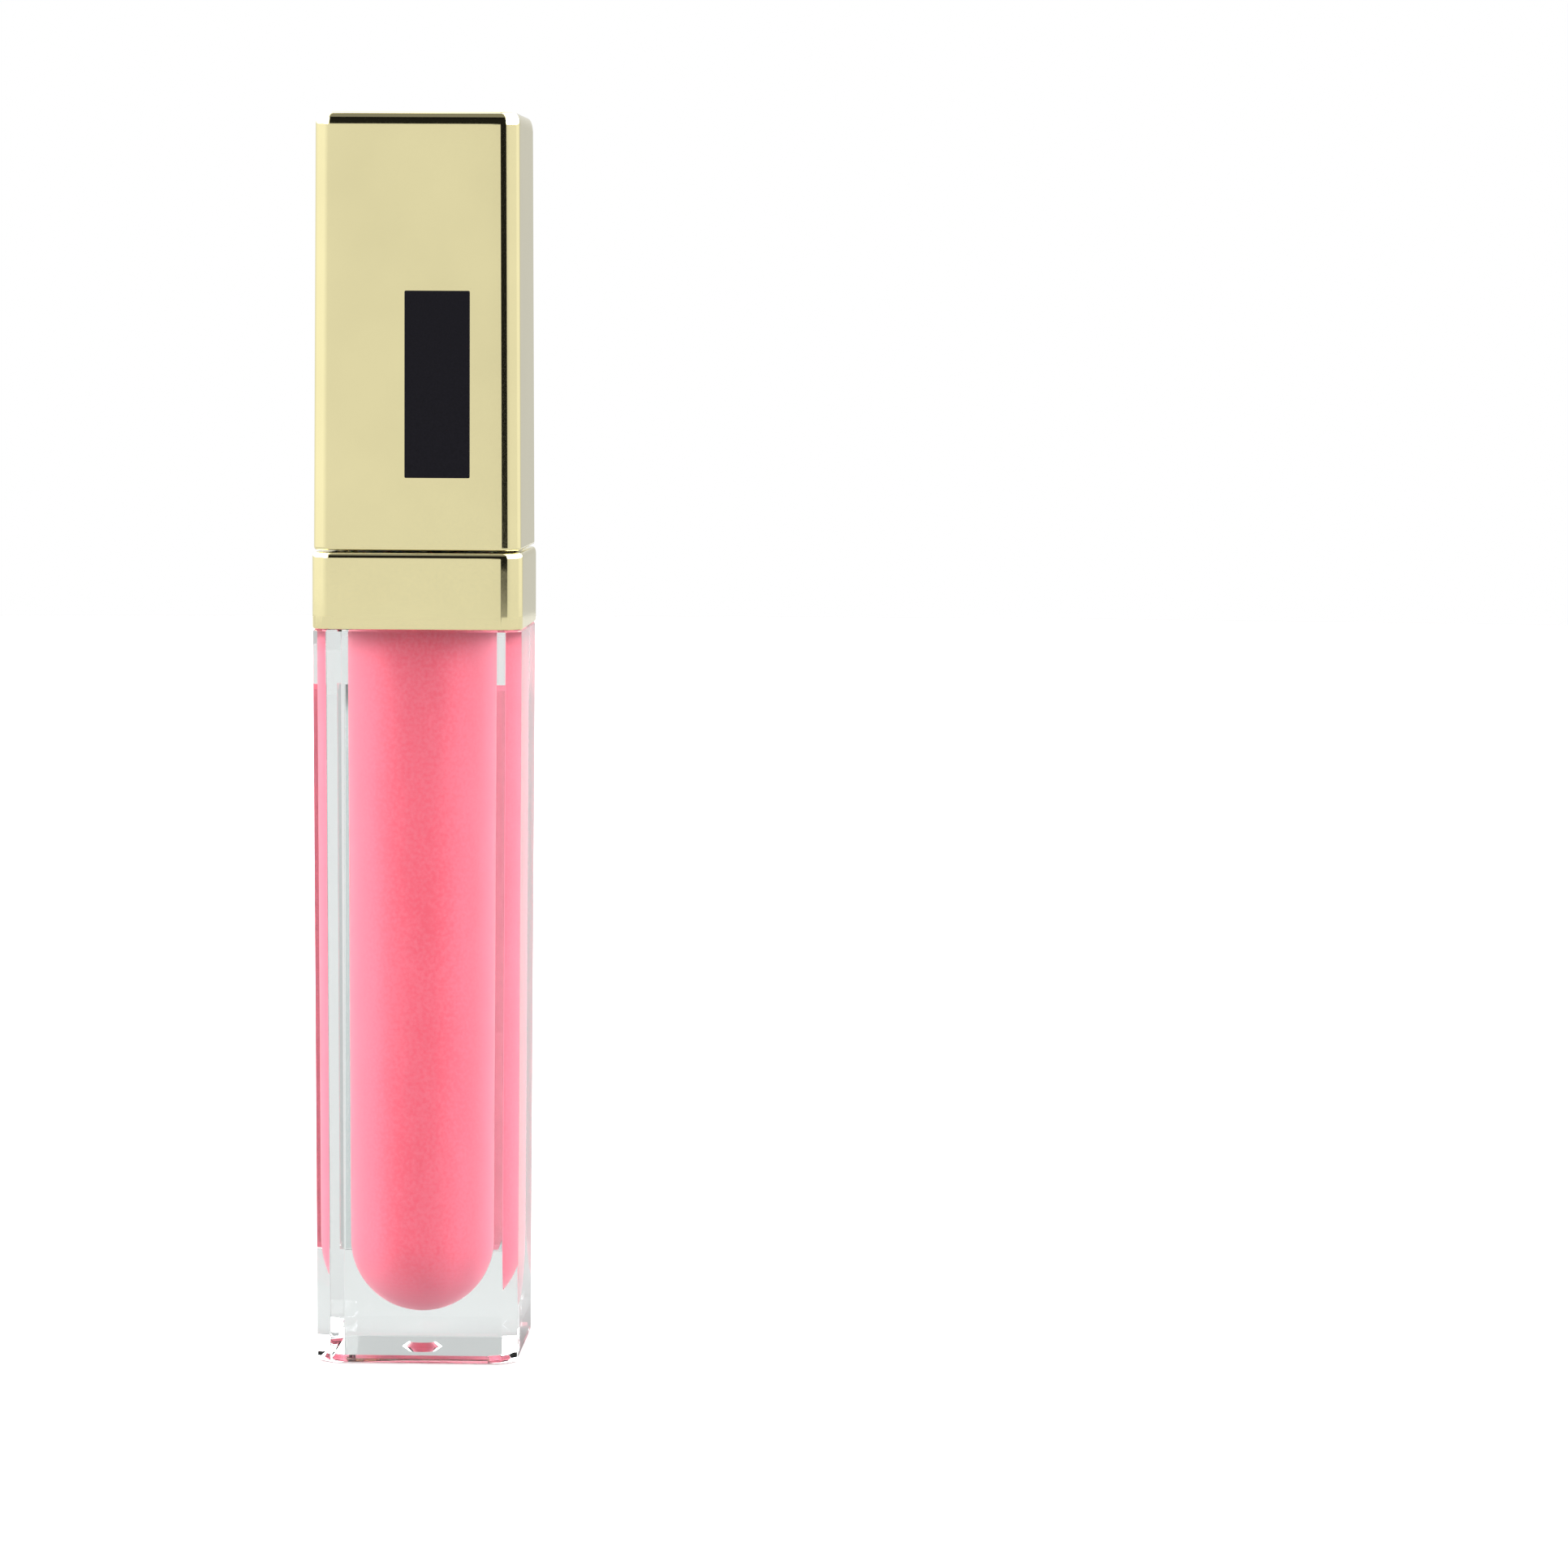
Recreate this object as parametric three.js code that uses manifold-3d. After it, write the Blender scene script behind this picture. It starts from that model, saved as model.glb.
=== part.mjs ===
// Lip gloss tube with a make-up mirror on its back and a light in its screw cap.
// Millimetres, +Z up, origin at the centre of the base, front towards -Y.
import * as THREE from "three";
import { mergeVertices } from "three/addons/utils/BufferGeometryUtils.js";
import Module from "manifold-3d";

const wasm = await Module();
wasm.setup();

// ---------------------------------------------------------------- driving dimensions

const TOTAL_HEIGHT = 110;

// Square bodies: half the width across the flats, and the leg of the 45 degree corner flats.
// Each mould draft widens the piece towards its joint with the next one.
const BOTTLE = { bottom: 0, top: 64.9, halfBottom: 8.88, halfTop: 9.175, corner: 1.275 };
const COLLAR = { bottom: 64.93, top: 71.66, half: 9.25, corner: 1.31, wall: 1.2, roof: 1.1 };
const CAP = { bottom: 71.86, top: TOTAL_HEIGHT, halfBottom: 9.097, halfTop: 8.92, corner: 1.135 };
const CAP_WALL = 1.1;
const CAP_ROOF = 1.2;
const EDGE_BREAK = 0.35; // chamfer round the ends of the gold shells
const FOOT_RADIUS = 0.5; // rounding round the base of the bottle

// Chamber of the bottle: a drafted cylinder that ends in a half sphere.
const CHAMBER_FLOOR = 3.85;
const CHAMBER_RADIUS_LOW = 6.35;
const CHAMBER_RADIUS_TOP = 6.58;
const FILL_LEVEL = 66.2;

// The base is hollowed inside a narrow rim. The hollow's walls slope at 45 degrees, and its
// ceiling has the tapered mark of the mould's gate.
const BASE_HOLLOW = { half: 7.4, depth: 0.58, corner: 1.0 };
const GATE_DIMPLE = { radius: 1.78, top: 1.2, depth: 0.42 };

// Mirror on the back of the bottle.
const MIRROR = { width: 15, height: 51, bottom: 8.4, thickness: 0.28, film: 0.12 };

// Label on the front of the cap.
const LABEL = { left: -1.0, right: 4.7, bottom: 78.2, top: 94.5, thickness: 0.12 };

// Neck, its thread, and the rim that the cap closes on.
const NECK_RADIUS = 6.0;
const NECK_BORE = 4.6;
const NECK_RIM = 81.0;
const THREAD = { lead: 2.0, depth: 0.7, clearance: 0.15, turns: 1, start: 75.6 };
const RIDGE = { rootHalf: 0.5, crestHalf: 0.25, rooted: 0.3, sunk: 0.1, runOut: 4 };

// Wand and wiper.
const STEM_RADIUS = 1.6;
const STEM_ROOT_RADIUS = 2.4;
const WIPER_ORIFICE = 1.85;
const TIP_BOTTOM = 9.0;
const TIP_TOP = 24.0;

// Standard button cell, 7.9 x 3.6 mm.
const CELL = { radius: 3.95, height: 3.6, count: 3 };

const FIT = 0.05; // gap between pieces that touch
const PAST = 1; // how far a cutting tool runs past the face it opens
const ROOTED = 0.5; // how deep a joined solid is rooted in its neighbour
const ROUND = 36; // sides of a turned piece
const FINE_ROUND = 48; // sides of the chamber and the gloss
const SMALL_ROUND = 24; // sides of the wand and its tip

// ---------------------------------------------------------------- materials

function finish(color, roughness, metalness, opacity = 1) {
  return new THREE.MeshStandardMaterial({
    color,
    roughness,
    metalness,
    opacity,
    transparent: opacity < 1,
  });
}

const MATERIALS = {
  clear: finish(0xe8efee, 0.05, 0, 0.3),
  gloss: finish(0xf6758a, 0.3, 0),
  gold: finish(0xdcd29e, 0.14, 1),
  label: finish(0x1c1b20, 0.45, 0),
  mirror: finish(0xe6e9ea, 0.03, 1),
  film: finish(0xd8dcd8, 0.5, 0, 0.6),
  whitePlastic: finish(0xf0efea, 0.4, 0),
  frosted: finish(0xf2f4f4, 0.3, 0, 0.6),
  softPlastic: finish(0xf4f2ee, 0.5, 0, 0.8),
  flock: finish(0xf7c9cf, 0.95, 0),
  steel: finish(0xc8c9cb, 0.25, 1),
  brass: finish(0xd6b45f, 0.3, 1),
  board: finish(0x1f5b3a, 0.45, 0),
  led: finish(0xf5efb8, 0.3, 0),
  resistor: finish(0x202226, 0.4, 0),
};

// ---------------------------------------------------------------- solids

// A closed three.js geometry as a solid for joining and cutting.
function solid(geometry) {
  const plain = geometry.clone();
  plain.deleteAttribute("normal");
  plain.deleteAttribute("uv");
  const merged = mergeVertices(plain, 1e-4);
  return new wasm.Manifold(
    new wasm.Mesh({
      numProp: 3,
      vertProperties: merged.attributes.position.array,
      triVerts: new Uint32Array(merged.index.array),
    }),
  );
}

// A solid as a geometry with flat-shaded faces.
function geometryOf(body) {
  const mesh = body.getMesh();
  const geometry = new THREE.BufferGeometry();
  geometry.setAttribute("position", new THREE.BufferAttribute(mesh.vertProperties, 3));
  geometry.setIndex(new THREE.BufferAttribute(mesh.triVerts, 1));
  const flat = geometry.toNonIndexed();
  flat.computeVertexNormals();
  return flat;
}

// A geometry from rings of points, each ring joined to the next and both ends closed.
function ringLoft(rings) {
  const sides = rings[0].length;
  const positions = rings.flat().flat();
  const index = [];
  for (let r = 0; r + 1 < rings.length; r++) {
    for (let s = 0; s < sides; s++) {
      const next = (s + 1) % sides;
      const low = r * sides;
      const high = low + sides;
      index.push(low + s, low + next, high + next, low + s, high + next, high + s);
    }
  }
  const last = (rings.length - 1) * sides;
  for (let s = 1; s + 1 < sides; s++) {
    index.push(0, s + 1, s, last, last + s, last + s + 1);
  }
  const geometry = new THREE.BufferGeometry();
  geometry.setAttribute("position", new THREE.Float32BufferAttribute(positions, 3));
  geometry.setIndex(index);
  return geometry;
}

// A square section with its corners cut by 45 degree flats, as a ring at height z.
function octagon(z, half, corner) {
  const flat = half - corner;
  const quarter = [
    [half, -flat],
    [half, flat],
  ];
  const ring = [];
  for (let turn = 0; turn < 4; turn++) {
    const cos = Math.round(Math.cos((turn * Math.PI) / 2));
    const sin = Math.round(Math.sin((turn * Math.PI) / 2));
    quarter.forEach(([x, y]) => ring.push([x * cos - y * sin, x * sin + y * cos, z]));
  }
  return ring;
}

// A square body lofted through [z, half width, corner] levels.
function squareBody(levels) {
  return solid(ringLoft(levels.map(([z, half, corner]) => octagon(z, half, corner))));
}

// The corner leg of a section that lies a wall's thickness inside another.
function insetCorner(corner, wall) {
  return Math.max(0.1, corner - (2 - Math.SQRT2) * wall);
}

// Half width of a drafted square body at height z.
function halfAt(body, z) {
  const share = (z - body.bottom) / (body.top - body.bottom);
  return THREE.MathUtils.lerp(body.halfBottom, body.halfTop, share);
}

// A solid of revolution about Z. The profile of [radius, z] points runs anticlockwise,
// and starts and ends on the axis or is closed here.
function turned(profile, sides = ROUND) {
  const points = profile.map(([radius, z]) => new THREE.Vector2(radius, z));
  if (profile[0][0] > 0) points.push(points[0].clone());
  return solid(new THREE.LatheGeometry(points, sides).rotateX(Math.PI / 2));
}

function ring(inner, outer, bottom, top, sides = ROUND) {
  return turned(
    [
      [inner, bottom],
      [outer, bottom],
      [outer, top],
      [inner, top],
    ],
    sides,
  );
}

function disc(radius, bottom, top, sides = ROUND) {
  return turned(
    [
      [0, bottom],
      [radius, bottom],
      [radius, top],
      [0, top],
    ],
    sides,
  );
}

function block(sizeX, sizeY, bottom, top, x = 0, y = 0) {
  const box = new THREE.BoxGeometry(sizeX, sizeY, top - bottom);
  return solid(box.translate(x, y, (bottom + top) / 2));
}

// One turn of a trapezoid ridge on a right-hand helix. It stands from wallRadius to
// crestRadius, is rooted a little in the wall, and sinks into the wall at both ends.
function threadRidge(wallRadius, crestRadius, startZ) {
  const outward = Math.sign(crestRadius - wallRadius);
  const root = wallRadius - outward * RIDGE.rooted;
  const sunk = wallRadius - outward * RIDGE.sunk;
  const steps = ROUND * THREAD.turns;
  const sections = [];
  for (let step = 0; step <= steps; step++) {
    // Half a step round, so that the ridge's edges cross the sides of the wall mid-way.
    const angle = ((step + 0.5) / ROUND) * 2 * Math.PI;
    const middle = startZ + (step / ROUND) * THREAD.lead;
    const full = Math.min(1, step / RIDGE.runOut, (steps - step) / RIDGE.runOut);
    const crest = THREE.MathUtils.lerp(sunk, crestRadius, full);
    const at = (radius, z) => [radius * Math.cos(angle), radius * Math.sin(angle), z];
    const section = [
      at(root, middle - RIDGE.rootHalf),
      at(crest, middle - RIDGE.crestHalf),
      at(crest, middle + RIDGE.crestHalf),
      at(root, middle + RIDGE.rootHalf),
    ];
    sections.push(outward > 0 ? section.reverse() : section);
  }
  return solid(ringLoft(sections));
}

const root = new THREE.Group();

function addPart(parent, name, shape, material) {
  const mesh = new THREE.Mesh(geometryOf(shape), material);
  mesh.name = name;
  parent.add(mesh);
  return mesh;
}

// ---------------------------------------------------------------- bottle

// Outline of the chamber from its floor up, offset inwards by a gap: half sphere, then wall.
function chamberProfile(gap, top) {
  const radius = CHAMBER_RADIUS_LOW - gap;
  const centre = CHAMBER_FLOOR + CHAMBER_RADIUS_LOW;
  const profile = [];
  const arcSteps = 9;
  for (let step = 0; step <= arcSteps; step++) {
    const angle = ((step / arcSteps) * Math.PI) / 2;
    profile.push([radius * Math.sin(angle), centre - radius * Math.cos(angle)]);
  }
  profile[0][0] = 0;
  const share = (top - centre) / (BOTTLE.top - centre);
  const draft = share * (CHAMBER_RADIUS_TOP - CHAMBER_RADIUS_LOW);
  profile.push([radius + draft, top]);
  return profile;
}

// The shoulder boss that the collar covers.
const BOSS = { top: 69.2, half: 7.9, corner: 1.0 };

// [z, half width, corner] levels of the rounded foot of the bottle.
function footLevels() {
  const steps = 4;
  const levels = [];
  for (let step = 0; step <= steps; step++) {
    const angle = ((step / steps) * Math.PI) / 2;
    const z = FOOT_RADIUS * (1 - Math.cos(angle));
    const inset = FOOT_RADIUS * (1 - Math.sin(angle));
    levels.push([z, halfAt(BOTTLE, z) - inset, insetCorner(BOTTLE.corner, inset)]);
  }
  return levels;
}

// The hollow in the base, wider towards its mouth by as much as it is deep.
function baseHollow() {
  const { half, depth, corner } = BASE_HOLLOW;
  const below = 0.1;
  return squareBody([
    [-below, half + depth + below, corner],
    [depth, half, corner],
  ]);
}

// A shallow cone with a flat top, which rises from the hollow's ceiling.
function gateMark() {
  const { radius, top, depth } = GATE_DIMPLE;
  const ceiling = BASE_HOLLOW.depth;
  const profile = [
    [0, -PAST],
    [radius, -PAST],
    [radius, ceiling],
    [top, ceiling + depth],
    [0, ceiling + depth],
  ];
  return turned(profile, SMALL_ROUND);
}

function bottleShape() {
  const outside = squareBody([...footLevels(), [BOTTLE.top, BOTTLE.halfTop, BOTTLE.corner]]);
  const boss = squareBody([
    [BOTTLE.top - ROOTED, BOSS.half, BOSS.corner],
    [BOSS.top, BOSS.half, BOSS.corner],
  ]);
  const mouth = BOSS.top + PAST;
  const chamber = turned([...chamberProfile(0, mouth), [0, mouth]], FINE_ROUND);
  const base = baseHollow().add(gateMark());
  return outside.add(boss).subtract(chamber).subtract(base).subtract(mirrorPocket());
}

// The gloss, with the wand's own space left open, so that it can leave straight up.
function glossShape() {
  const room = 0.3;
  const well = STEM_RADIUS + room;
  const wellFloor = TIP_BOTTOM - room;
  const outline = chamberProfile(FIT, FILL_LEVEL);
  return turned([...outline, [well, FILL_LEVEL], [well, wellFloor], [0, wellFloor]], FINE_ROUND);
}

// ---------------------------------------------------------------- mirror

const BACK_DRAFT = Math.atan((BOTTLE.halfTop - BOTTLE.halfBottom) / BOTTLE.top);
const POCKET_DEPTH = MIRROR.thickness + MIRROR.film + FIT;

// The frame of the back face: x across, y outwards from the face, z up from the mirror's foot.
function onBackFace(object) {
  object.position.set(0, halfAt(BOTTLE, MIRROR.bottom), MIRROR.bottom);
  object.rotation.x = -BACK_DRAFT;
  object.updateMatrix();
  return object;
}

function mirrorPocket() {
  const margin = 0.1;
  const box = new THREE.BoxGeometry(
    MIRROR.width + 2 * margin,
    2 * POCKET_DEPTH,
    MIRROR.height + 2 * margin,
  );
  box.translate(0, 0, MIRROR.height / 2);
  return solid(box.applyMatrix4(onBackFace(new THREE.Object3D()).matrix));
}

function addMirror() {
  const frame = onBackFace(new THREE.Group());
  root.add(frame);
  const middle = MIRROR.height / 2;
  const border = 1; // the film is this much smaller than the plate
  const filmWidth = MIRROR.width - border;
  const filmHeight = MIRROR.height - border;
  const film = new THREE.BoxGeometry(filmWidth, MIRROR.film - FIT, filmHeight);
  const filmMesh = addPart(frame, "mirror_adhesive", solid(film), MATERIALS.film);
  filmMesh.position.set(0, -POCKET_DEPTH + FIT / 2 + MIRROR.film / 2, middle);
  const plate = new THREE.BoxGeometry(MIRROR.width, MIRROR.thickness - FIT, MIRROR.height);
  const plateMesh = addPart(frame, "mirror_plate", solid(plate), MATERIALS.mirror);
  plateMesh.position.set(0, -MIRROR.thickness / 2, middle);
}

// ---------------------------------------------------------------- neck, wiper and collar

const NECK_FLANGE = { bottom: BOSS.top + FIT, top: 70.45, half: 7.8, corner: 1.0 };
const NECK_PLUG = { bottom: FILL_LEVEL + 0.2, radius: CHAMBER_RADIUS_TOP - 0.08 };

function neckShape() {
  const flange = squareBody([
    [NECK_FLANGE.bottom, NECK_FLANGE.half, NECK_FLANGE.corner],
    [NECK_FLANGE.top, NECK_FLANGE.half, NECK_FLANGE.corner],
  ]);
  const plug = disc(NECK_PLUG.radius, NECK_PLUG.bottom, NECK_FLANGE.bottom + ROOTED);
  const neck = disc(NECK_RADIUS, NECK_FLANGE.bottom + ROOTED, NECK_RIM);
  const thread = threadRidge(NECK_RADIUS, NECK_RADIUS + THREAD.depth, THREAD.start);
  const bore = disc(NECK_BORE, NECK_PLUG.bottom - PAST, NECK_RIM + PAST);
  return flange.add(plug).add(neck).add(thread).subtract(bore);
}

// A flanged sleeve that closes to a soft lip round the stem.
const WIPER = { flangeRadius: 5.2, flange: 0.75, lipZ: 68.2, coneTop: 73.5, wall: 0.55 };
const WIPER_FLANGE_TOP = NECK_RIM + FIT + WIPER.flange;

function wiperShape() {
  const outer = NECK_BORE - FIT;
  const inner = outer - WIPER.wall;
  return turned([
    [WIPER_ORIFICE, WIPER.lipZ],
    [WIPER_ORIFICE + WIPER.wall, WIPER.lipZ],
    [outer, WIPER.coneTop - WIPER.wall],
    [outer, NECK_RIM + FIT],
    [WIPER.flangeRadius, NECK_RIM + FIT],
    [WIPER.flangeRadius, WIPER_FLANGE_TOP],
    [inner, WIPER_FLANGE_TOP],
    [inner, WIPER.coneTop],
    [WIPER_ORIFICE, WIPER.lipZ + WIPER.wall],
  ]);
}

function collarShape() {
  const outside = squareBody([
    [COLLAR.bottom, COLLAR.half - EDGE_BREAK / 2, COLLAR.corner],
    [COLLAR.bottom + EDGE_BREAK / 2, COLLAR.half, COLLAR.corner],
    [COLLAR.top - EDGE_BREAK, COLLAR.half, COLLAR.corner],
    [COLLAR.top, COLLAR.half - EDGE_BREAK, COLLAR.corner],
  ]);
  const corner = insetCorner(COLLAR.corner, COLLAR.wall);
  const room = squareBody([
    [COLLAR.bottom - PAST, COLLAR.half - COLLAR.wall, corner],
    [COLLAR.top - COLLAR.roof, COLLAR.half - COLLAR.wall, corner],
  ]);
  const threadPasses = NECK_RADIUS + THREAD.depth + THREAD.clearance;
  return outside.subtract(room).subtract(disc(threadPasses, COLLAR.bottom, COLLAR.top + PAST));
}

// ---------------------------------------------------------------- cap

function capShellShape() {
  const outside = squareBody([
    [CAP.bottom, CAP.halfBottom - EDGE_BREAK / 2, CAP.corner],
    [CAP.bottom + EDGE_BREAK / 2, CAP.halfBottom, CAP.corner],
    [CAP.top - EDGE_BREAK, CAP.halfTop, CAP.corner],
    [CAP.top, CAP.halfTop - EDGE_BREAK, CAP.corner],
  ]);
  const corner = insetCorner(CAP.corner, CAP_WALL);
  const room = squareBody([
    [CAP.bottom - PAST, CAP.halfBottom - CAP_WALL, corner],
    [CAP.top - CAP_ROOF, CAP.halfTop - CAP_WALL, corner],
  ]);
  return outside.subtract(room);
}

// The label lies on the front face, which leans back with the draft of the cap.
function addLabel() {
  const draft = Math.atan((CAP.halfBottom - CAP.halfTop) / (CAP.top - CAP.bottom));
  const width = LABEL.right - LABEL.left;
  const height = LABEL.top - LABEL.bottom;
  const middle = (LABEL.top + LABEL.bottom) / 2;
  const plate = solid(new THREE.BoxGeometry(width, LABEL.thickness, height));
  const mesh = addPart(root, "label_panel", plate, MATERIALS.label);
  const clearance = 0.02;
  const proud = LABEL.thickness / 2 + clearance;
  mesh.position.set((LABEL.left + LABEL.right) / 2, -halfAt(CAP, middle) - proud, middle);
  mesh.rotation.x = -draft;
}

const INNER_CAP = { bottom: 72.6, roofBottom: 82.3, top: 84.0, half: 7.8, corner: 0.6 };
const PLUNGER_HOLE = 4.75;

function innerCapShape() {
  const outside = squareBody([
    [INNER_CAP.bottom, INNER_CAP.half, INNER_CAP.corner],
    [INNER_CAP.top, INNER_CAP.half, INNER_CAP.corner],
  ]);
  const boreRadius = NECK_RADIUS + THREAD.depth + THREAD.clearance;
  const bore = disc(boreRadius, INNER_CAP.bottom - PAST, INNER_CAP.roofBottom);
  const hole = disc(PLUNGER_HOLE, INNER_CAP.roofBottom - PAST, INNER_CAP.top + PAST);
  // Closed, the cap's ridge lies half a lead under the neck's ridge and pulls up on it.
  const crest = NECK_RADIUS + THREAD.clearance;
  const thread = threadRidge(boreRadius, crest, THREAD.start - THREAD.lead / 2);
  return outside.subtract(bore).subtract(hole).add(thread);
}

function gasketShape() {
  const outer = NECK_RADIUS + THREAD.depth - 2 * FIT;
  const inner = WIPER.flangeRadius + 3 * FIT;
  return ring(inner, outer, NECK_RIM + FIT, INNER_CAP.roofBottom - FIT);
}

// ---------------------------------------------------------------- switch

const PLUNGER = { bore: 2.55, radius: 4.6, flangeRadius: 5.5, flange: 0.8 };
const PLUNGER_BOTTOM = WIPER_FLANGE_TOP + FIT;
const LEAF = { thickness: 0.2, width: 2.0, reach: 7.2 };
const LEAF_TOP = INNER_CAP.top + FIT + LEAF.thickness;
const CONTACT_RING_HEIGHT = 0.22;
const CONTACT_RING_BOTTOM = LEAF_TOP + 2 * FIT + THREAD.lead * THREAD.turns;
const PLUNGER_FLANGE_BOTTOM = CONTACT_RING_BOTTOM + CONTACT_RING_HEIGHT + FIT;
const PLUNGER_TOP = PLUNGER_FLANGE_BOTTOM + PLUNGER.flange;
const SPRING = { radius: 4.4, wire: 0.25, turns: 3, height: 3.5 };
const WASHER = { inner: 3.6, outer: 5.2, thickness: 0.35 };
const WASHER_BOTTOM = PLUNGER_TOP + SPRING.height + 2 * FIT;
const WASHER_TOP = WASHER_BOTTOM + WASHER.thickness;

function plungerShape() {
  return turned([
    [PLUNGER.bore, PLUNGER_BOTTOM],
    [PLUNGER.radius, PLUNGER_BOTTOM],
    [PLUNGER.radius, PLUNGER_FLANGE_BOTTOM],
    [PLUNGER.flangeRadius, PLUNGER_FLANGE_BOTTOM],
    [PLUNGER.flangeRadius, PLUNGER_TOP],
    [PLUNGER.bore, PLUNGER_TOP],
  ]);
}

class Coil extends THREE.Curve {
  getPoint(share) {
    const angle = share * SPRING.turns * 2 * Math.PI;
    const rise = SPRING.height - 2 * SPRING.wire;
    const x = SPRING.radius * Math.cos(angle);
    const y = SPRING.radius * Math.sin(angle);
    return new THREE.Vector3(x, y, SPRING.wire + share * rise);
  }
}

function springShape() {
  const section = new THREE.Shape();
  section.absarc(0, 0, SPRING.wire, 0, 2 * Math.PI);
  const wire = new THREE.ExtrudeGeometry(section, {
    steps: 16 * SPRING.turns,
    curveSegments: 6,
    extrudePath: new Coil(),
  });
  return solid(wire);
}

function addSwitch() {
  addPart(root, "switch_plunger", plungerShape(), MATERIALS.whitePlastic);
  const contactTop = CONTACT_RING_BOTTOM + CONTACT_RING_HEIGHT;
  const contact = ring(PLUNGER.radius + FIT, PLUNGER.flangeRadius, CONTACT_RING_BOTTOM, contactTop);
  addPart(root, "contact_ring", contact, MATERIALS.brass);
  const spring = addPart(root, "return_spring", springShape(), MATERIALS.steel);
  spring.position.z = PLUNGER_TOP + FIT;
  const washer = ring(WASHER.inner, WASHER.outer, WASHER_BOTTOM, WASHER_TOP);
  addPart(root, "spring_washer", washer, MATERIALS.steel);
}

// ---------------------------------------------------------------- light unit

const BOARD = { bottom: 89.0, thickness: 1.0, half: 7.4, corner: 1.0, hole: 5.7 };
const LED = { length: 3.5, width: 2.2, height: 0.7, out: 6.4 };
const LED_WELL = { length: 2.6, width: 1.4, depth: 0.2 };
const RESISTOR = { length: 2.0, width: 1.2, height: 0.55, x: 6.5, y: 3.1 };
const CHASSIS_BOTTOM = BOARD.bottom + BOARD.thickness + FIT;
const CHASSIS = { top: 107.4, half: 7.55, corner: 0.9, leg: 2.0 };
const BAY_FLOOR = 95.0;
const BAY_RADIUS = CELL.radius + 3 * FIT;
const CONTACT_THICKNESS = 0.2;
const FIRST_CELL = BAY_FLOOR + CONTACT_THICKNESS + 2 * FIT;
const CELL_PITCH = CELL.height + FIT;
const STACK_TOP = FIRST_CELL + CELL.count * CELL_PITCH;
const CONTACT_SLOT = { reach: 6.6, width: 2.4, well: 0.7, clearance: 0.2 };

// Four posts at the corners of the light unit, which stands on the inner cap.
function cornerPosts(bottom, top, size) {
  const at = CHASSIS.half - CHASSIS.leg / 2;
  const corners = [
    [1, 1],
    [-1, 1],
    [-1, -1],
    [1, -1],
  ];
  return corners.map(([x, y]) => block(size, size, bottom, top, x * at, y * at));
}

// The slots that the two contact strips leave the battery bay by, and their wells.
function contactSlots() {
  const inner = BAY_RADIUS - ROOTED;
  const length = CONTACT_SLOT.reach - inner;
  const middle = inner + length / 2;
  const wellMiddle = CONTACT_SLOT.reach - CONTACT_SLOT.well / 2;
  const slot = (side, top) => block(length, CONTACT_SLOT.width, BAY_FLOOR, top, side * middle);
  const well = (side) => {
    const bottom = CHASSIS_BOTTOM - PAST;
    const x = side * wellMiddle;
    return block(CONTACT_SLOT.well, CONTACT_SLOT.width, bottom, BAY_FLOOR + PAST, x);
  };
  return [slot(-1, CHASSIS.top + PAST), slot(1, BAY_FLOOR + PAST), well(1), well(-1)];
}

function chassisShape() {
  let body = squareBody([
    [CHASSIS_BOTTOM, CHASSIS.half, CHASSIS.corner],
    [CHASSIS.top, CHASSIS.half, CHASSIS.corner],
  ]);
  for (const leg of cornerPosts(INNER_CAP.top + FIT, CHASSIS_BOTTOM + ROOTED, CHASSIS.leg)) {
    body = body.add(leg);
  }
  const pocketRadius = PLUNGER.flangeRadius + 2 * FIT;
  const springPocket = disc(pocketRadius, CHASSIS_BOTTOM - PAST, WASHER_TOP + FIT);
  const wandSocket = disc(STEM_ROOT_RADIUS + FIT, CHASSIS_BOTTOM, STEM_TOP + FIT);
  const bay = disc(BAY_RADIUS, BAY_FLOOR, CHASSIS.top + PAST);
  const cuts = [springPocket, wandSocket, bay, ...contactSlots()];
  return cuts.reduce((rest, cut) => rest.subtract(cut), body);
}

// A strip that leaves the cell stack sideways at height z and runs down to the board.
function contactShape(side, padBottom) {
  const padTop = padBottom + CONTACT_THICKNESS;
  const padInset = 0.6;
  const outer = CONTACT_SLOT.reach - CONTACT_SLOT.clearance;
  const width = CONTACT_SLOT.width - 2 * CONTACT_SLOT.clearance;
  const pad = disc(CELL.radius - padInset, padBottom, padTop, SMALL_ROUND);
  const arm = block(outer, width, padBottom, padTop, (side * outer) / 2);
  const legX = side * (outer - CONTACT_THICKNESS / 2);
  const leg = block(CONTACT_THICKNESS, width, CHASSIS_BOTTOM, padTop, legX);
  return pad.add(arm).add(leg);
}

function boardShape() {
  const above = BOARD.bottom + BOARD.thickness + PAST;
  const plate = squareBody([
    [BOARD.bottom, BOARD.half, BOARD.corner],
    [BOARD.bottom + BOARD.thickness, BOARD.half, BOARD.corner],
  ]);
  const room = 0.4; // round the posts of the chassis
  const notches = cornerPosts(BOARD.bottom - PAST, above, CHASSIS.leg + room);
  const hole = disc(BOARD.hole, BOARD.bottom - PAST, above);
  return [hole, ...notches].reduce((rest, cut) => rest.subtract(cut), plate);
}

// A fixed contact: a tongue on the inner cap under the plunger's ring, bent up to the board.
function leafShape(side) {
  const inner = PLUNGER.radius + 6 * FIT;
  const bottom = INNER_CAP.top + FIT;
  const middle = (side * (inner + LEAF.reach)) / 2;
  const tongue = block(LEAF.reach - inner, LEAF.width, bottom, LEAF_TOP, middle);
  const legX = side * (LEAF.reach - LEAF.thickness / 2);
  return tongue.add(block(LEAF.thickness, LEAF.width, bottom, BOARD.bottom - FIT, legX));
}

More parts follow.
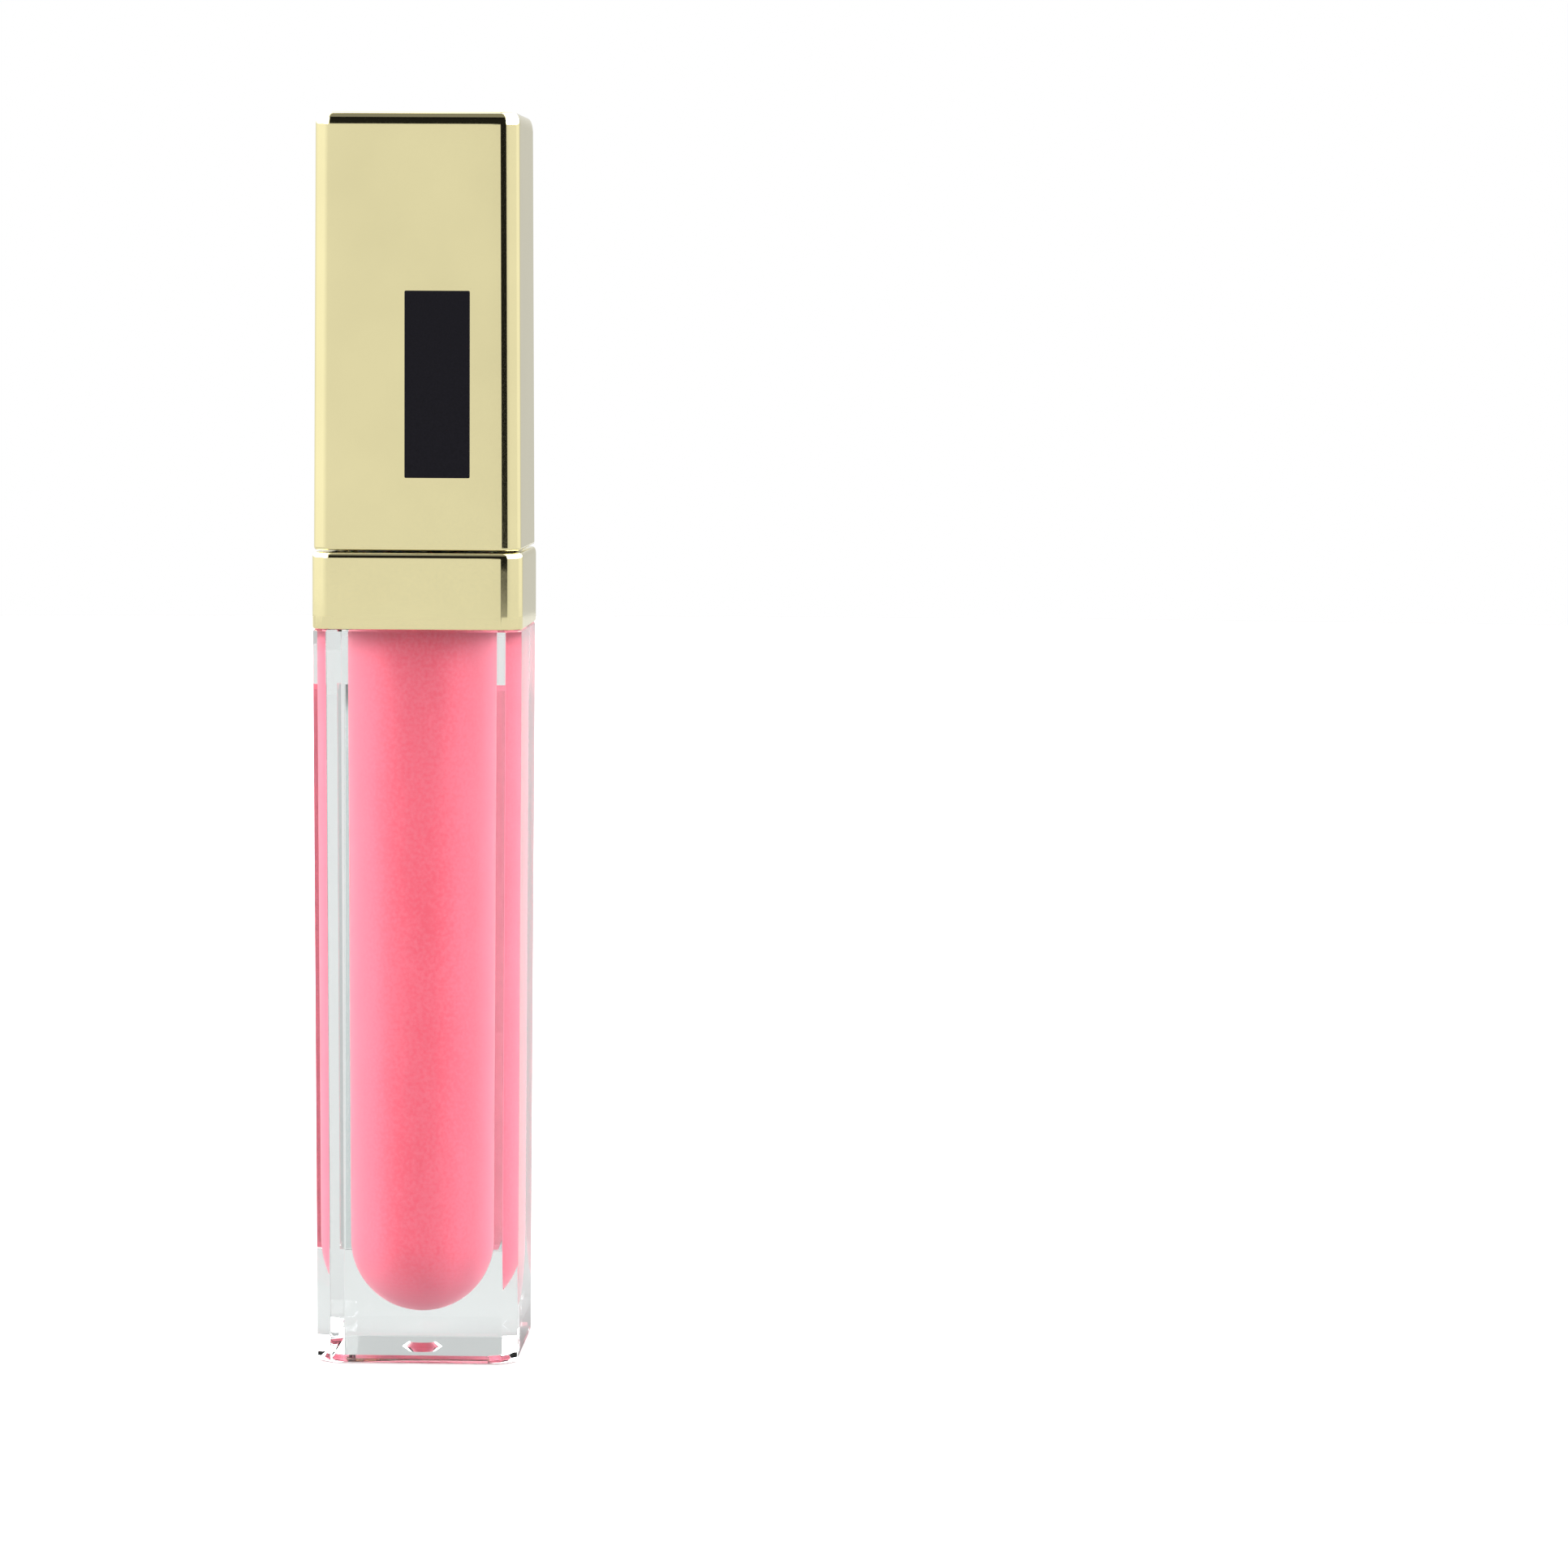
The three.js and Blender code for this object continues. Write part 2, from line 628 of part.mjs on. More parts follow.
// A button cell with its negative cap downwards.
function cellShape() {
  const negativeRadius = CELL.radius - 0.75;
  const step = 0.25;
  const bevel = 0.2;
  return turned([
    [0, 0],
    [negativeRadius, 0],
    [negativeRadius, step],
    [CELL.radius - bevel, step],
    [CELL.radius, step + bevel],
    [CELL.radius, CELL.height - bevel],
    [CELL.radius - bevel, CELL.height],
    [0, CELL.height],
  ]);
}

// A light under the board, with the phosphor pocket in its face.
function ledShape(side) {
  const top = BOARD.bottom - FIT;
  const face = top - LED.height;
  const y = side * LED.out;
  const body = block(LED.length, LED.width, face, top, 0, y);
  const wellTop = face + LED_WELL.depth;
  return body.subtract(block(LED_WELL.length, LED_WELL.width, face - PAST, wellTop, 0, y));
}

function resistorShape() {
  const top = BOARD.bottom - FIT;
  const { width, length, height, x, y } = RESISTOR;
  return block(width, length, top - height, top, x, y);
}

function addLightUnit() {
  addPart(root, "led_board", boardShape(), MATERIALS.board);
  [-1, 1].forEach((side, i) => {
    const number = i + 1;
    addPart(root, `led_${number}`, ledShape(side), MATERIALS.led);
    addPart(root, `contact_leaf_${number}`, leafShape(side), MATERIALS.brass);
  });
  addPart(root, "series_resistor", resistorShape(), MATERIALS.resistor);
  addPart(root, "module_chassis", chassisShape(), MATERIALS.whitePlastic);
  addPart(root, "positive_contact", contactShape(1, BAY_FLOOR + FIT), MATERIALS.brass);
  addPart(root, "negative_contact", contactShape(-1, STACK_TOP + FIT), MATERIALS.brass);
  for (let i = 0; i < CELL.count; i++) {
    const cell = addPart(root, `button_cell_${i + 1}`, cellShape(), MATERIALS.steel);
    cell.position.z = FIRST_CELL + i * CELL_PITCH;
  }
  addPart(root, "chassis_lid", lidShape(), MATERIALS.whitePlastic);
}

// The lid closes the bay and presses on the stack through a boss.
function lidShape() {
  const bossRadius = BAY_RADIUS - 6 * FIT;
  const bossBottom = STACK_TOP + CONTACT_THICKNESS + 2 * FIT;
  const plate = squareBody([
    [CHASSIS.top + FIT, CHASSIS.half, CHASSIS.corner],
    [CAP.top - CAP_ROOF - 2 * FIT, CHASSIS.half, CHASSIS.corner],
  ]);
  return plate.add(disc(bossRadius, bossBottom, CHASSIS.top + ROOTED));
}

// ---------------------------------------------------------------- wand

const STEM_TOP = 93.9;
const ROOT_BOTTOM = 76.5;
const SPIGOT = { radius: 0.9, length: 6 }; // the tip's root, glued into the stem
const FLOCK = 0.35;
const TIP_SHOULDER = 0.4;
const NECK_OF_TIP = TIP_TOP - TIP_SHOULDER;

function stemShape() {
  const taper = 1.2;
  const socketTop = TIP_TOP + SPIGOT.length + 2 * FIT;
  return turned(
    [
      [SPIGOT.radius + FIT, TIP_TOP + FIT],
      [STEM_RADIUS, TIP_TOP + FIT],
      [STEM_RADIUS, ROOT_BOTTOM - taper],
      [STEM_ROOT_RADIUS, ROOT_BOTTOM],
      [STEM_ROOT_RADIUS, STEM_TOP],
      [0, STEM_TOP],
      [0, socketTop],
      [SPIGOT.radius + FIT, socketTop],
    ],
    SMALL_ROUND,
  );
}

// Radius of the doe-foot tip at a share of its length from the point: a round nose, and a
// slight waist behind it.
function tipRadius(share) {
  const noseShare = 0.22;
  const waistShare = 0.85;
  const waistDepth = 0.12;
  const nose = Math.sqrt(1 - (1 - Math.min(1, share / noseShare)) ** 2);
  const waist = 1 - waistDepth * Math.sin(Math.PI * Math.min(1, share / waistShare));
  return STEM_RADIUS * nose * waist;
}

function tipOutline(inset, bottom) {
  const steps = 11;
  const outline = [];
  for (let step = 0; step <= steps; step++) {
    const share = step / steps;
    const radius = Math.max(0, tipRadius(share) - inset);
    outline.push([radius, THREE.MathUtils.lerp(bottom, NECK_OF_TIP, share)]);
  }
  outline[0][0] = 0;
  return outline;
}

// What lies in front of the slanted face of the doe foot, or of a plane that lies deeper.
function slantCut(inset) {
  const slant = 0.16;
  const noseOffset = 0.1;
  const size = 12;
  const box = new THREE.BoxGeometry(size, size, 2 * size);
  box.translate(0, -size / 2, 0).rotateX(slant);
  return solid(box.translate(0, noseOffset + inset, TIP_BOTTOM));
}

function coreShape() {
  const outline = tipOutline(FLOCK + FIT, TIP_BOTTOM + FLOCK + FIT);
  const tip = turned([...outline, [0, NECK_OF_TIP]], SMALL_ROUND);
  const spigot = turned(
    [
      [0, NECK_OF_TIP - ROOTED],
      [SPIGOT.radius, NECK_OF_TIP - ROOTED],
      [SPIGOT.radius, NECK_OF_TIP + FIT],
      [STEM_RADIUS, NECK_OF_TIP + FIT],
      [STEM_RADIUS, TIP_TOP],
      [SPIGOT.radius, TIP_TOP],
      [SPIGOT.radius, TIP_TOP + SPIGOT.length],
      [0, TIP_TOP + SPIGOT.length],
    ],
    SMALL_ROUND,
  );
  return tip.subtract(slantCut(FLOCK + FIT)).add(spigot);
}

function flockShape() {
  const outer = turned([...tipOutline(0, TIP_BOTTOM), [0, NECK_OF_TIP]], SMALL_ROUND);
  const hollowTop = tipRadius(1) - FLOCK;
  const lining = tipOutline(FLOCK, TIP_BOTTOM + FLOCK);
  const hollow = turned([...lining, [hollowTop, TIP_TOP], [0, TIP_TOP]], SMALL_ROUND);
  return outer.subtract(slantCut(0)).subtract(hollow.subtract(slantCut(FLOCK)));
}

// ---------------------------------------------------------------- assembly

addPart(root, "bottle", bottleShape(), MATERIALS.clear);
addPart(root, "gloss_fill", glossShape(), MATERIALS.gloss);
addMirror();
addPart(root, "neck_insert", neckShape(), MATERIALS.softPlastic);
addPart(root, "wiper", wiperShape(), MATERIALS.softPlastic);
addPart(root, "collar", collarShape(), MATERIALS.gold);
addPart(root, "cap_shell", capShellShape(), MATERIALS.gold);
addLabel();
addPart(root, "inner_cap", innerCapShape(), MATERIALS.frosted);
addPart(root, "gasket", gasketShape(), MATERIALS.softPlastic);
addSwitch();
addLightUnit();
addPart(root, "wand_stem", stemShape(), MATERIALS.whitePlastic);
addPart(root, "applicator_core", coreShape(), MATERIALS.softPlastic);
addPart(root, "applicator_flock", flockShape(), MATERIALS.flock);

export default root;
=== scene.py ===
"""Lip gloss tube: a clear square bottle of pearly pink gloss, with a mirror on its back,
and a gold screw cap that carries a light and the wand. It stands on a pale floor."""

import math

import bpy
from mathutils import Matrix, Vector


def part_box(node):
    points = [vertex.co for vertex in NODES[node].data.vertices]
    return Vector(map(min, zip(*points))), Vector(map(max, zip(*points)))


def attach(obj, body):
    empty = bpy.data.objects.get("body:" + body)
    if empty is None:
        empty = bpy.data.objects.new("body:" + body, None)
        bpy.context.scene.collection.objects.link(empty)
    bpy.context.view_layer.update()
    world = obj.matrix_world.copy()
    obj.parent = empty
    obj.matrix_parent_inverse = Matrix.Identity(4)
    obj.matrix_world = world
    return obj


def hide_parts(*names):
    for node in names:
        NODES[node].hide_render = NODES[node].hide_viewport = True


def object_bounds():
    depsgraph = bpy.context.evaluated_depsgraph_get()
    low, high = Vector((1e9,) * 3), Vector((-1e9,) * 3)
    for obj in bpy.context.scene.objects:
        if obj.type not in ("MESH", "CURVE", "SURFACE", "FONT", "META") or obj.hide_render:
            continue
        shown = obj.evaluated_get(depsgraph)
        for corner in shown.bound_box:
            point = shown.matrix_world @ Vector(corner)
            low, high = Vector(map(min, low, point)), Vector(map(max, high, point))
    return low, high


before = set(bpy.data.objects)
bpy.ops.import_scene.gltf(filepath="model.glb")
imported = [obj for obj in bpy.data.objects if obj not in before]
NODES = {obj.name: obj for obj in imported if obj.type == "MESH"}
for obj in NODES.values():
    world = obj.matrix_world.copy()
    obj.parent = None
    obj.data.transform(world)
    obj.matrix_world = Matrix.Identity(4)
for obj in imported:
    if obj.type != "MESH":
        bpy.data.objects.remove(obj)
cad_low, cad_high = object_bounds()

MM = 0.001
SQRT2 = math.sqrt(2)


# ---------------------------------------------------------------- sizes, in millimetres


def box_mm(node):
    """Lowest and highest corner of a CAD node, in millimetres."""
    low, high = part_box(node)
    return low / MM, high / MM


class Square:
    """A drafted square body with 45 degree corner flats, as the CAD model has it."""

    def __init__(self, node, half_bottom, half_top, leg, bottom=None, top=None):
        low, high = box_mm(node)
        self.bottom = low.z if bottom is None else bottom
        self.top = high.z if top is None else top
        self.half_bottom = half_bottom
        self.half_top = half_top
        self.leg = leg

    def half(self, z):
        share = (z - self.bottom) / (self.top - self.bottom)
        return self.half_bottom + share * (self.half_top - self.half_bottom)

    def ring(self, z, fillet, inset=0.0):
        """The section at height z, moved inwards by inset."""
        leg = max(0.1, self.leg - (2 - SQRT2) * inset)
        return section(z, self.half(z) - inset, leg, fillet)


BOTTLE = Square("bottle", 8.88, 9.175, 1.275, top=64.9)
COLLAR = Square("collar", 9.25, 9.25, 1.31)
CAP = Square("cap_shell", 9.097, 8.92, 1.135)

CHAMBER = {"floor": 3.85, "low": 6.35, "top": 6.58}  # floor's height, radius low down and at the mouth
BOSS_HALF, BOSS_LEG = 7.9, 1.0  # the square boss that the collar sits round
FOOT_RADIUS = 0.5
RECESS_DEPTH, RECESS_HALF = 0.58, 7.4  # the base is hollowed, with walls at 45 degrees
DIMPLE_RADIUS, DIMPLE_TOP, DIMPLE_DEPTH = 1.78, 1.2, 0.42  # gate mark in the hollow's ceiling
CONTACT = 0.02  # the gloss reaches this far into the wall, so that it wets it
SHELL_WALL, SHELL_ROOF = 1.1, 1.2
GOLD_FILLET = 1.55  # rounding of the gold's upright edges; section() keeps it within the flat
CLEAR_FILLET = 0.15  # rounding of the upright edges of the bottle
INNER_FILLET = 0.4  # rounding of the upright edges inside the gold shells
NECK_RADIUS, NECK_BORE = 6.0, 4.6
THREAD = {"lead": 2.0, "depth": 0.7, "clearance": 0.15, "start": 75.6}

ARC_STEPS = 8  # points round each rounded edge of a section
FLAT_STEPS = 12  # points along each wide side of a section
TURN_STEPS = 96  # sides of a turned piece


# ---------------------------------------------------------------- mesh building


def section(z, half, leg, fillet):
    """Points of a square section with rounded 45 degree corner flats, anticlockwise."""
    slanted = (2 * half - leg) / SQRT2
    fillet = min(fillet, leg * 0.95)  # a rounding has to end on its flat
    points = []
    for corner in range(8):
        first = corner * math.pi / 4
        second = first + math.pi / 4
        near, far = (half, slanted) if corner % 2 == 0 else (slanted, half)
        near -= fillet
        far -= fillet
        wedge = math.sin(math.pi / 4)
        x = (near * math.sin(second) - far * math.sin(first)) / wedge
        y = (far * math.cos(first) - near * math.cos(second)) / wedge
        arc = []
        for step in range(ARC_STEPS + 1):
            angle = first + (step / ARC_STEPS) * math.pi / 4
            arc.append(Vector((x + fillet * math.cos(angle), y + fillet * math.sin(angle), z)))
        points += arc
        if corner % 2 == 1:
            points += flat_points(arc[-1])
    return points


def flat_points(start):
    """Points along a wide side, from the end of one rounded corner to the next one's start."""
    across = start.copy()
    if abs(start.y) > abs(start.x):
        across.x = -start.x
    else:
        across.y = -start.y
    return [start.lerp(across, step / FLAT_STEPS) for step in range(1, FLAT_STEPS)]


# Angles of the points of a ring: those of a section, so that a circle joins it point for point,
# and even ones for turned pieces.
DIRECTIONS = [math.atan2(p.y, p.x) for p in section(0, 9.0, 1.2, 1.0)]
EVEN_DIRECTIONS = [2 * math.pi * step / TURN_STEPS for step in range(TURN_STEPS)]


def circle(z, radius, directions=DIRECTIONS):
    """A ring at height z. The radius is a number, or a function of the angle."""
    at = radius if callable(radius) else lambda angle: radius
    return [Vector((at(a) * math.cos(a), at(a) * math.sin(a), z)) for a in directions]


def add_mesh(name, points, faces, sharp=30):
    """A smooth-shaded object of these points, in millimetres. Edges over sharp degrees stay."""
    mesh = bpy.data.meshes.new(name)
    mesh.from_pydata([tuple(p * MM) for p in points], [], faces)
    mesh.validate()
    mesh.shade_smooth()
    mesh.set_sharp_from_angle(angle=math.radians(sharp))
    obj = bpy.data.objects.new(name, mesh)
    bpy.context.scene.collection.objects.link(obj)
    return obj


def loft(name, rings, start=None, end=None, sharp=30):
    """Joins rings of equal length. start and end close it on the axis at those heights; with
    neither, the last ring joins the first."""
    sides = len(rings[0])
    points = [p for ring in rings for p in ring]
    count = len(rings)
    pairs = [(r, r + 1) for r in range(count - 1)]
    if start is None and end is None:
        pairs.append((count - 1, 0))
    faces = []
    for low, high in pairs:
        for s in range(sides):
            n = (s + 1) % sides
            a, b = low * sides + s, low * sides + n
            c, d = high * sides + n, high * sides + s
            faces.append((a, b, c, d))
    if start is not None:
        points.append(Vector((0, 0, start)))
        tip = len(points) - 1
        faces += [(tip, (s + 1) % sides, s) for s in range(sides)]
    if end is not None:
        points.append(Vector((0, 0, end)))
        tip = len(points) - 1
        last = (count - 1) * sides
        faces += [(last + s, last + (s + 1) % sides, tip) for s in range(sides)]
    return add_mesh(name, points, faces, sharp)


def soften(profile, radius, closed, steps=3):
    """A profile of (radius, z) points with its corners rounded."""
    share = 2.2  # a rounding takes just under half of a side, so that two never meet
    result = []
    count = len(profile)
    for i, corner in enumerate(profile):
        here = Vector(corner)
        if not closed and i in (0, count - 1):
            result.append(here)
            continue
        back = Vector(profile[i - 1]) - here
        forward = Vector(profile[(i + 1) % count]) - here
        reach = min(radius, back.length / share, forward.length / share)
        a = here + back.normalized() * reach
        b = here + forward.normalized() * reach
        for step in range(steps + 1):
            t = step / steps
            result.append(a * (1 - t) ** 2 + here * 2 * t * (1 - t) + b * t**2)
    return result


def turned(name, profile, soft=0.08, sharp=35):
    """A turned piece. A profile that starts and ends on the axis is a solid of revolution;
    any other profile closes on itself and makes a ring."""
    solid = profile[0][0] == 0 and profile[-1][0] == 0
    rounded = soften(profile, soft, not solid)
    if solid:
        rings = [circle(p[1], p[0], EVEN_DIRECTIONS) for p in rounded[1:-1]]
        return loft(name, rings, profile[0][1], profile[-1][1], sharp)
    rings = [circle(p[1], p[0], EVEN_DIRECTIONS) for p in rounded]
    return loft(name, rings, sharp=sharp)


def keep_flats_flat(obj):
    """Wide faces keep their own normals, and the narrow rounded edges bend between them."""
    modifier = obj.modifiers.new("flats", "WEIGHTED_NORMAL")
    modifier.keep_sharp = True
    modifier.weight = 100


# ---------------------------------------------------------------- materials


def linear(red, green, blue):
    """A colour on the usual 0 to 255 scale, as linear light."""

    def one(value):
        value /= 255
        return value / 12.92 if value <= 0.04045 else ((value + 0.055) / 1.055) ** 2.4

    return (one(red), one(green), one(blue), 1.0)


class Nodes:
    """A node tree and short ways to add to it."""

    def __init__(self, tree):
        self.tree = tree
        tree.nodes.clear()

    def add(self, kind, **inputs):
        """A node with its inputs set to values or linked to sockets. Names use _ for spaces."""
        node = self.tree.nodes.new(kind)
        for key, value in inputs.items():
            self.put(node, key.replace("_", " "), value)
        return node

    def put(self, node, key, value):
        if isinstance(value, bpy.types.NodeSocket):
            self.tree.links.new(value, node.inputs[key])
        else:
            node.inputs[key].default_value = value

    def math(self, operation, *values):
        node = self.tree.nodes.new("ShaderNodeMath")
        node.operation = operation
        for i, value in enumerate(values):
            if isinstance(value, bpy.types.NodeSocket):
                self.tree.links.new(value, node.inputs[i])
            else:
                node.inputs[i].default_value = value
        return node.outputs[0]

    def ramp(self, value, *stops):
        """A colour ramp through (position, colour) stops."""
        node = self.tree.nodes.new("ShaderNodeValToRGB")
        elements = node.color_ramp.elements
        while len(elements) < len(stops):
            elements.new(1.0)
        for element, (position, color) in zip(elements, stops):
            element.position = position
            element.color = color
        self.tree.links.new(value, node.inputs["Fac"])
        return node.outputs["Color"]

    def spread(self, value, low, high):
        """A 0 to 1 value spread between low and high."""
        node = self.add("ShaderNodeMapRange", Value=value)
        node.inputs["To Min"].default_value = low
        node.inputs["To Max"].default_value = high
        return node.outputs["Result"]

    def noise(self, per_mm, detail=2.0, stretch=(1, 1, 1)):
        """Noise with this many features in a millimetre, fixed to the piece."""
        spot = self.add("ShaderNodeTexCoord").outputs["Object"]
        scale = self.add("ShaderNodeMapping", Vector=spot)
        scale.inputs["Scale"].default_value = stretch
        texture = self.add("ShaderNodeTexNoise", Vector=scale.outputs["Vector"])
        texture.inputs["Scale"].default_value = per_mm / MM
        texture.inputs["Detail"].default_value = detail
        return texture.outputs["Fac"]

    def bump(self, height, depth_mm, below=None):
        node = self.add("ShaderNodeBump", Height=height)
        node.inputs["Strength"].default_value = 1.0
        node.inputs["Distance"].default_value = depth_mm * MM
        if below is not None:
            self.tree.links.new(below, node.inputs["Normal"])
        return node.outputs["Normal"]


def new_material(name):
    """A material with one Principled shader, and the writer of its node tree."""
    material = bpy.data.materials.new(name)
    material.use_nodes = True
    nodes = Nodes(material.node_tree)
    shader = nodes.add("ShaderNodeBsdfPrincipled")
    output = nodes.add("ShaderNodeOutputMaterial")
    material.node_tree.links.new(shader.outputs[0], output.inputs["Surface"])
    return material, nodes, shader


def shade(color, factor):
    """A colour made lighter or darker."""
    return tuple(c * factor for c in color[:3]) + (1.0,)


def gold():
    """Bright electroplated gold: a mirror finish with a faint orange peel and fine dust."""
    material, nodes, shader = new_material("plated_gold")
    tone = linear(239, 229, 178)
    cloud = nodes.noise(0.12, 3.0)
    nodes.put(shader, "Base Color", nodes.ramp(cloud, (0.3, shade(tone, 0.97)), (0.7, shade(tone, 1.02))))
    nodes.put(shader, "Metallic", 1.0)
    nodes.put(shader, "Specular Tint", (1.0, 0.99, 0.9, 1.0))
    nodes.put(shader, "Roughness", nodes.spread(nodes.noise(6.0, 4.0), 0.055, 0.10))
    ripple = nodes.bump(nodes.noise(0.22, 1.0), 0.0035)
    nodes.put(shader, "Normal", nodes.bump(nodes.noise(9.0, 2.0), 0.00012, ripple))
    return material


def acrylic():
    """Thick clear moulded plastic, a little grey, with weak flow lines along its height."""
    material, nodes, shader = new_material("clear_acrylic")
    cloud = nodes.noise(0.05, 2.0)
    tint = linear(243, 248, 247)
    nodes.put(shader, "Base Color", nodes.ramp(cloud, (0.3, shade(tint, 0.985)), (0.7, tint)))
    nodes.put(shader, "Roughness", 0.0)
    nodes.put(shader, "IOR", 1.49)
    nodes.put(shader, "Transmission Weight", 1.0)
    flow = nodes.noise(0.5, 1.0, (1, 1, 0.12))
    nodes.put(shader, "Normal", nodes.bump(flow, 0.0006))
    return material


def pearl_gloss():
    """Thick pearly pink gloss: fine flakes, and a painted sheen, its colour turning a paler pink where it
    turns away.
    """
    material, nodes, shader = new_material("pearl_gloss")
    deep = (0.95, 0.13, 0.2, 1)
    pale = (0.96, 0.175, 0.255, 1)
    painted_sheen_pink = (0.95, 0.25, 0.345, 1)
    flakes = nodes.noise(3.2, 4.0)
    swirl = nodes.noise(0.18, 3.0, (1, 1, 0.35))
    mixed = nodes.math("ADD", nodes.math("MULTIPLY", flakes, 0.6), nodes.math("MULTIPLY", swirl, 0.4))
    # Painted sheen: the base colour turns a paler pink as the surface turns away from the view.
    facing = nodes.add("ShaderNodeLayerWeight", Blend=0.8).outputs["Facing"]
    body = nodes.ramp(mixed, (0.4, deep), (0.6, pale))
    blend = nodes.add("ShaderNodeMix")
    blend.data_type = "RGBA"
    color_a, color_b = blend.inputs[6], blend.inputs[7]
    material.node_tree.links.new(facing, blend.inputs[0])
    material.node_tree.links.new(body, color_a)
    color_b.default_value = painted_sheen_pink
    nodes.put(shader, "Base Color", blend.outputs[2])
    nodes.put(shader, "Roughness", nodes.spread(flakes, 0.35, 0.5))
    nodes.put(shader, "IOR", 1.08)
    nodes.put(shader, "Specular IOR Level", 0.0)
    nodes.put(shader, "Sheen Weight", 0.6)
    nodes.put(shader, "Sheen Roughness", 0.45)
    nodes.put(shader, "Sheen Tint", linear(255, 226, 232))
    nodes.put(shader, "Normal", nodes.bump(flakes, 0.004))
    return material


def moulded(name, color, roughness=0.4, clouding=0.04, grain=3.0, depth=0.004, soft=0.0):
    """Moulded plastic or rubber, clouded and finely grained. soft is the share of the light that
    scatters inside it."""
    material, nodes, shader = new_material(name)
    cloud = nodes.noise(0.25, 4.0)
    tones = (0.3, shade(color, 1 - clouding)), (0.7, shade(color, 1 + clouding / 2))
    nodes.put(shader, "Base Color", nodes.ramp(cloud, *tones))
    fine = nodes.noise(grain, 3.0)
    nodes.put(shader, "Roughness", nodes.spread(fine, roughness - 0.06, roughness + 0.08))
    nodes.put(shader, "Subsurface Weight", soft)
    nodes.put(shader, "Subsurface Scale", 0.8 * MM)
    nodes.put(shader, "Normal", nodes.bump(fine, depth))
    return material


def metal(name, color, roughness=0.25, stretch=(1, 1, 1), depth=0.002):
    """Rolled or plated metal with drawn streaks and small stains."""
    material, nodes, shader = new_material(name)
    stain = nodes.noise(0.4, 5.0)
    nodes.put(shader, "Base Color", nodes.ramp(stain, (0.3, shade(color, 0.9)), (0.65, color)))
    nodes.put(shader, "Metallic", 1.0)
    streak = nodes.noise(4.0, 3.0, stretch)
    nodes.put(shader, "Roughness", nodes.spread(streak, roughness * 0.7, roughness * 1.3))
    nodes.put(shader, "Normal", nodes.bump(streak, depth))
    return material


def silvered():
    """The mirror: a silvered sheet with a faint haze."""
    material, nodes, shader = new_material("silvered_mirror")
    haze = nodes.noise(0.15, 3.0)
    tone = (0.9, 0.915, 0.92, 1.0)
    nodes.put(shader, "Base Color", nodes.ramp(haze, (0.3, shade(tone, 0.97)), (0.7, tone)))
    nodes.put(shader, "Metallic", 1.0)
    nodes.put(shader, "Roughness", nodes.spread(nodes.noise(2.0, 4.0), 0.01, 0.04))
    nodes.put(shader, "Normal", nodes.bump(nodes.noise(0.1, 1.0), 0.001))
    return material


def clear_film():
    """The film that holds the mirror."""
    material, nodes, shader = new_material("clear_film")
    cloud = nodes.noise(0.4, 3.0)
    hazy, clear = (0.94, 0.94, 0.92, 1), (0.97, 0.97, 0.96, 1)
    nodes.put(shader, "Base Color", nodes.ramp(cloud, (0.3, hazy), (0.7, clear)))
    nodes.put(shader, "Roughness", 0.02)
    nodes.put(shader, "IOR", 1.45)
    nodes.put(shader, "Transmission Weight", 1.0)
    nodes.put(shader, "Normal", nodes.bump(cloud, 0.001))
    return material


def label_ink():
    """Black satin lacquer of the label panel."""
    material, nodes, shader = new_material("label_black")
    fine = nodes.noise(7.0, 3.0)
    dark = linear(20, 19, 24)
    nodes.put(shader, "Base Color", nodes.ramp(fine, (0.3, shade(dark, 0.8)), (0.7, shade(dark, 1.2))))
    nodes.put(shader, "Roughness", nodes.spread(fine, 0.32, 0.42))
    nodes.put(shader, "IOR", 1.18)
    nodes.put(shader, "Normal", nodes.bump(fine, 0.0008))
    return material


def flocked():
    """Short nylon fibres soaked with gloss."""
    material, nodes, shader = new_material("flocked_tip")
    fibres = nodes.noise(9.0, 4.0, (1, 1, 0.4))
    clumps = nodes.noise(1.2, 3.0)
    dry = linear(196, 128, 138)
    wet = linear(190, 74, 92)
    nodes.put(shader, "Base Color", nodes.ramp(clumps, (0.35, wet), (0.6, dry)))
    nodes.put(shader, "Roughness", nodes.spread(fibres, 0.7, 0.95))
    nodes.put(shader, "Sheen Weight", 0.6)
    nodes.put(shader, "Sheen Roughness", 0.4)
    nodes.put(shader, "Normal", nodes.bump(fibres, 0.08))
    return material


def board_green():
    """Solder-masked circuit board with copper traces under the mask."""
    material, nodes, shader = new_material("board_green")
    spot = nodes.add("ShaderNodeTexCoord").outputs["Object"]
    cells = nodes.add("ShaderNodeTexVoronoi", Vector=spot)
    cells.distance = "CHEBYCHEV"
    cells.feature = "DISTANCE_TO_EDGE"
    cells_per_mm, trace_width = 0.45, 0.06
    cells.inputs["Scale"].default_value = cells_per_mm / MM
    trace = nodes.math("LESS_THAN", cells.outputs["Distance"], trace_width)
    mask = linear(22, 84, 52)
    over_copper = linear(44, 122, 74)
    nodes.put(shader, "Base Color", nodes.ramp(trace, (0.2, mask), (0.8, over_copper)))
    nodes.put(shader, "Roughness", nodes.spread(nodes.noise(5.0), 0.3, 0.45))
    nodes.put(shader, "Normal", nodes.bump(trace, 0.03))
    return material


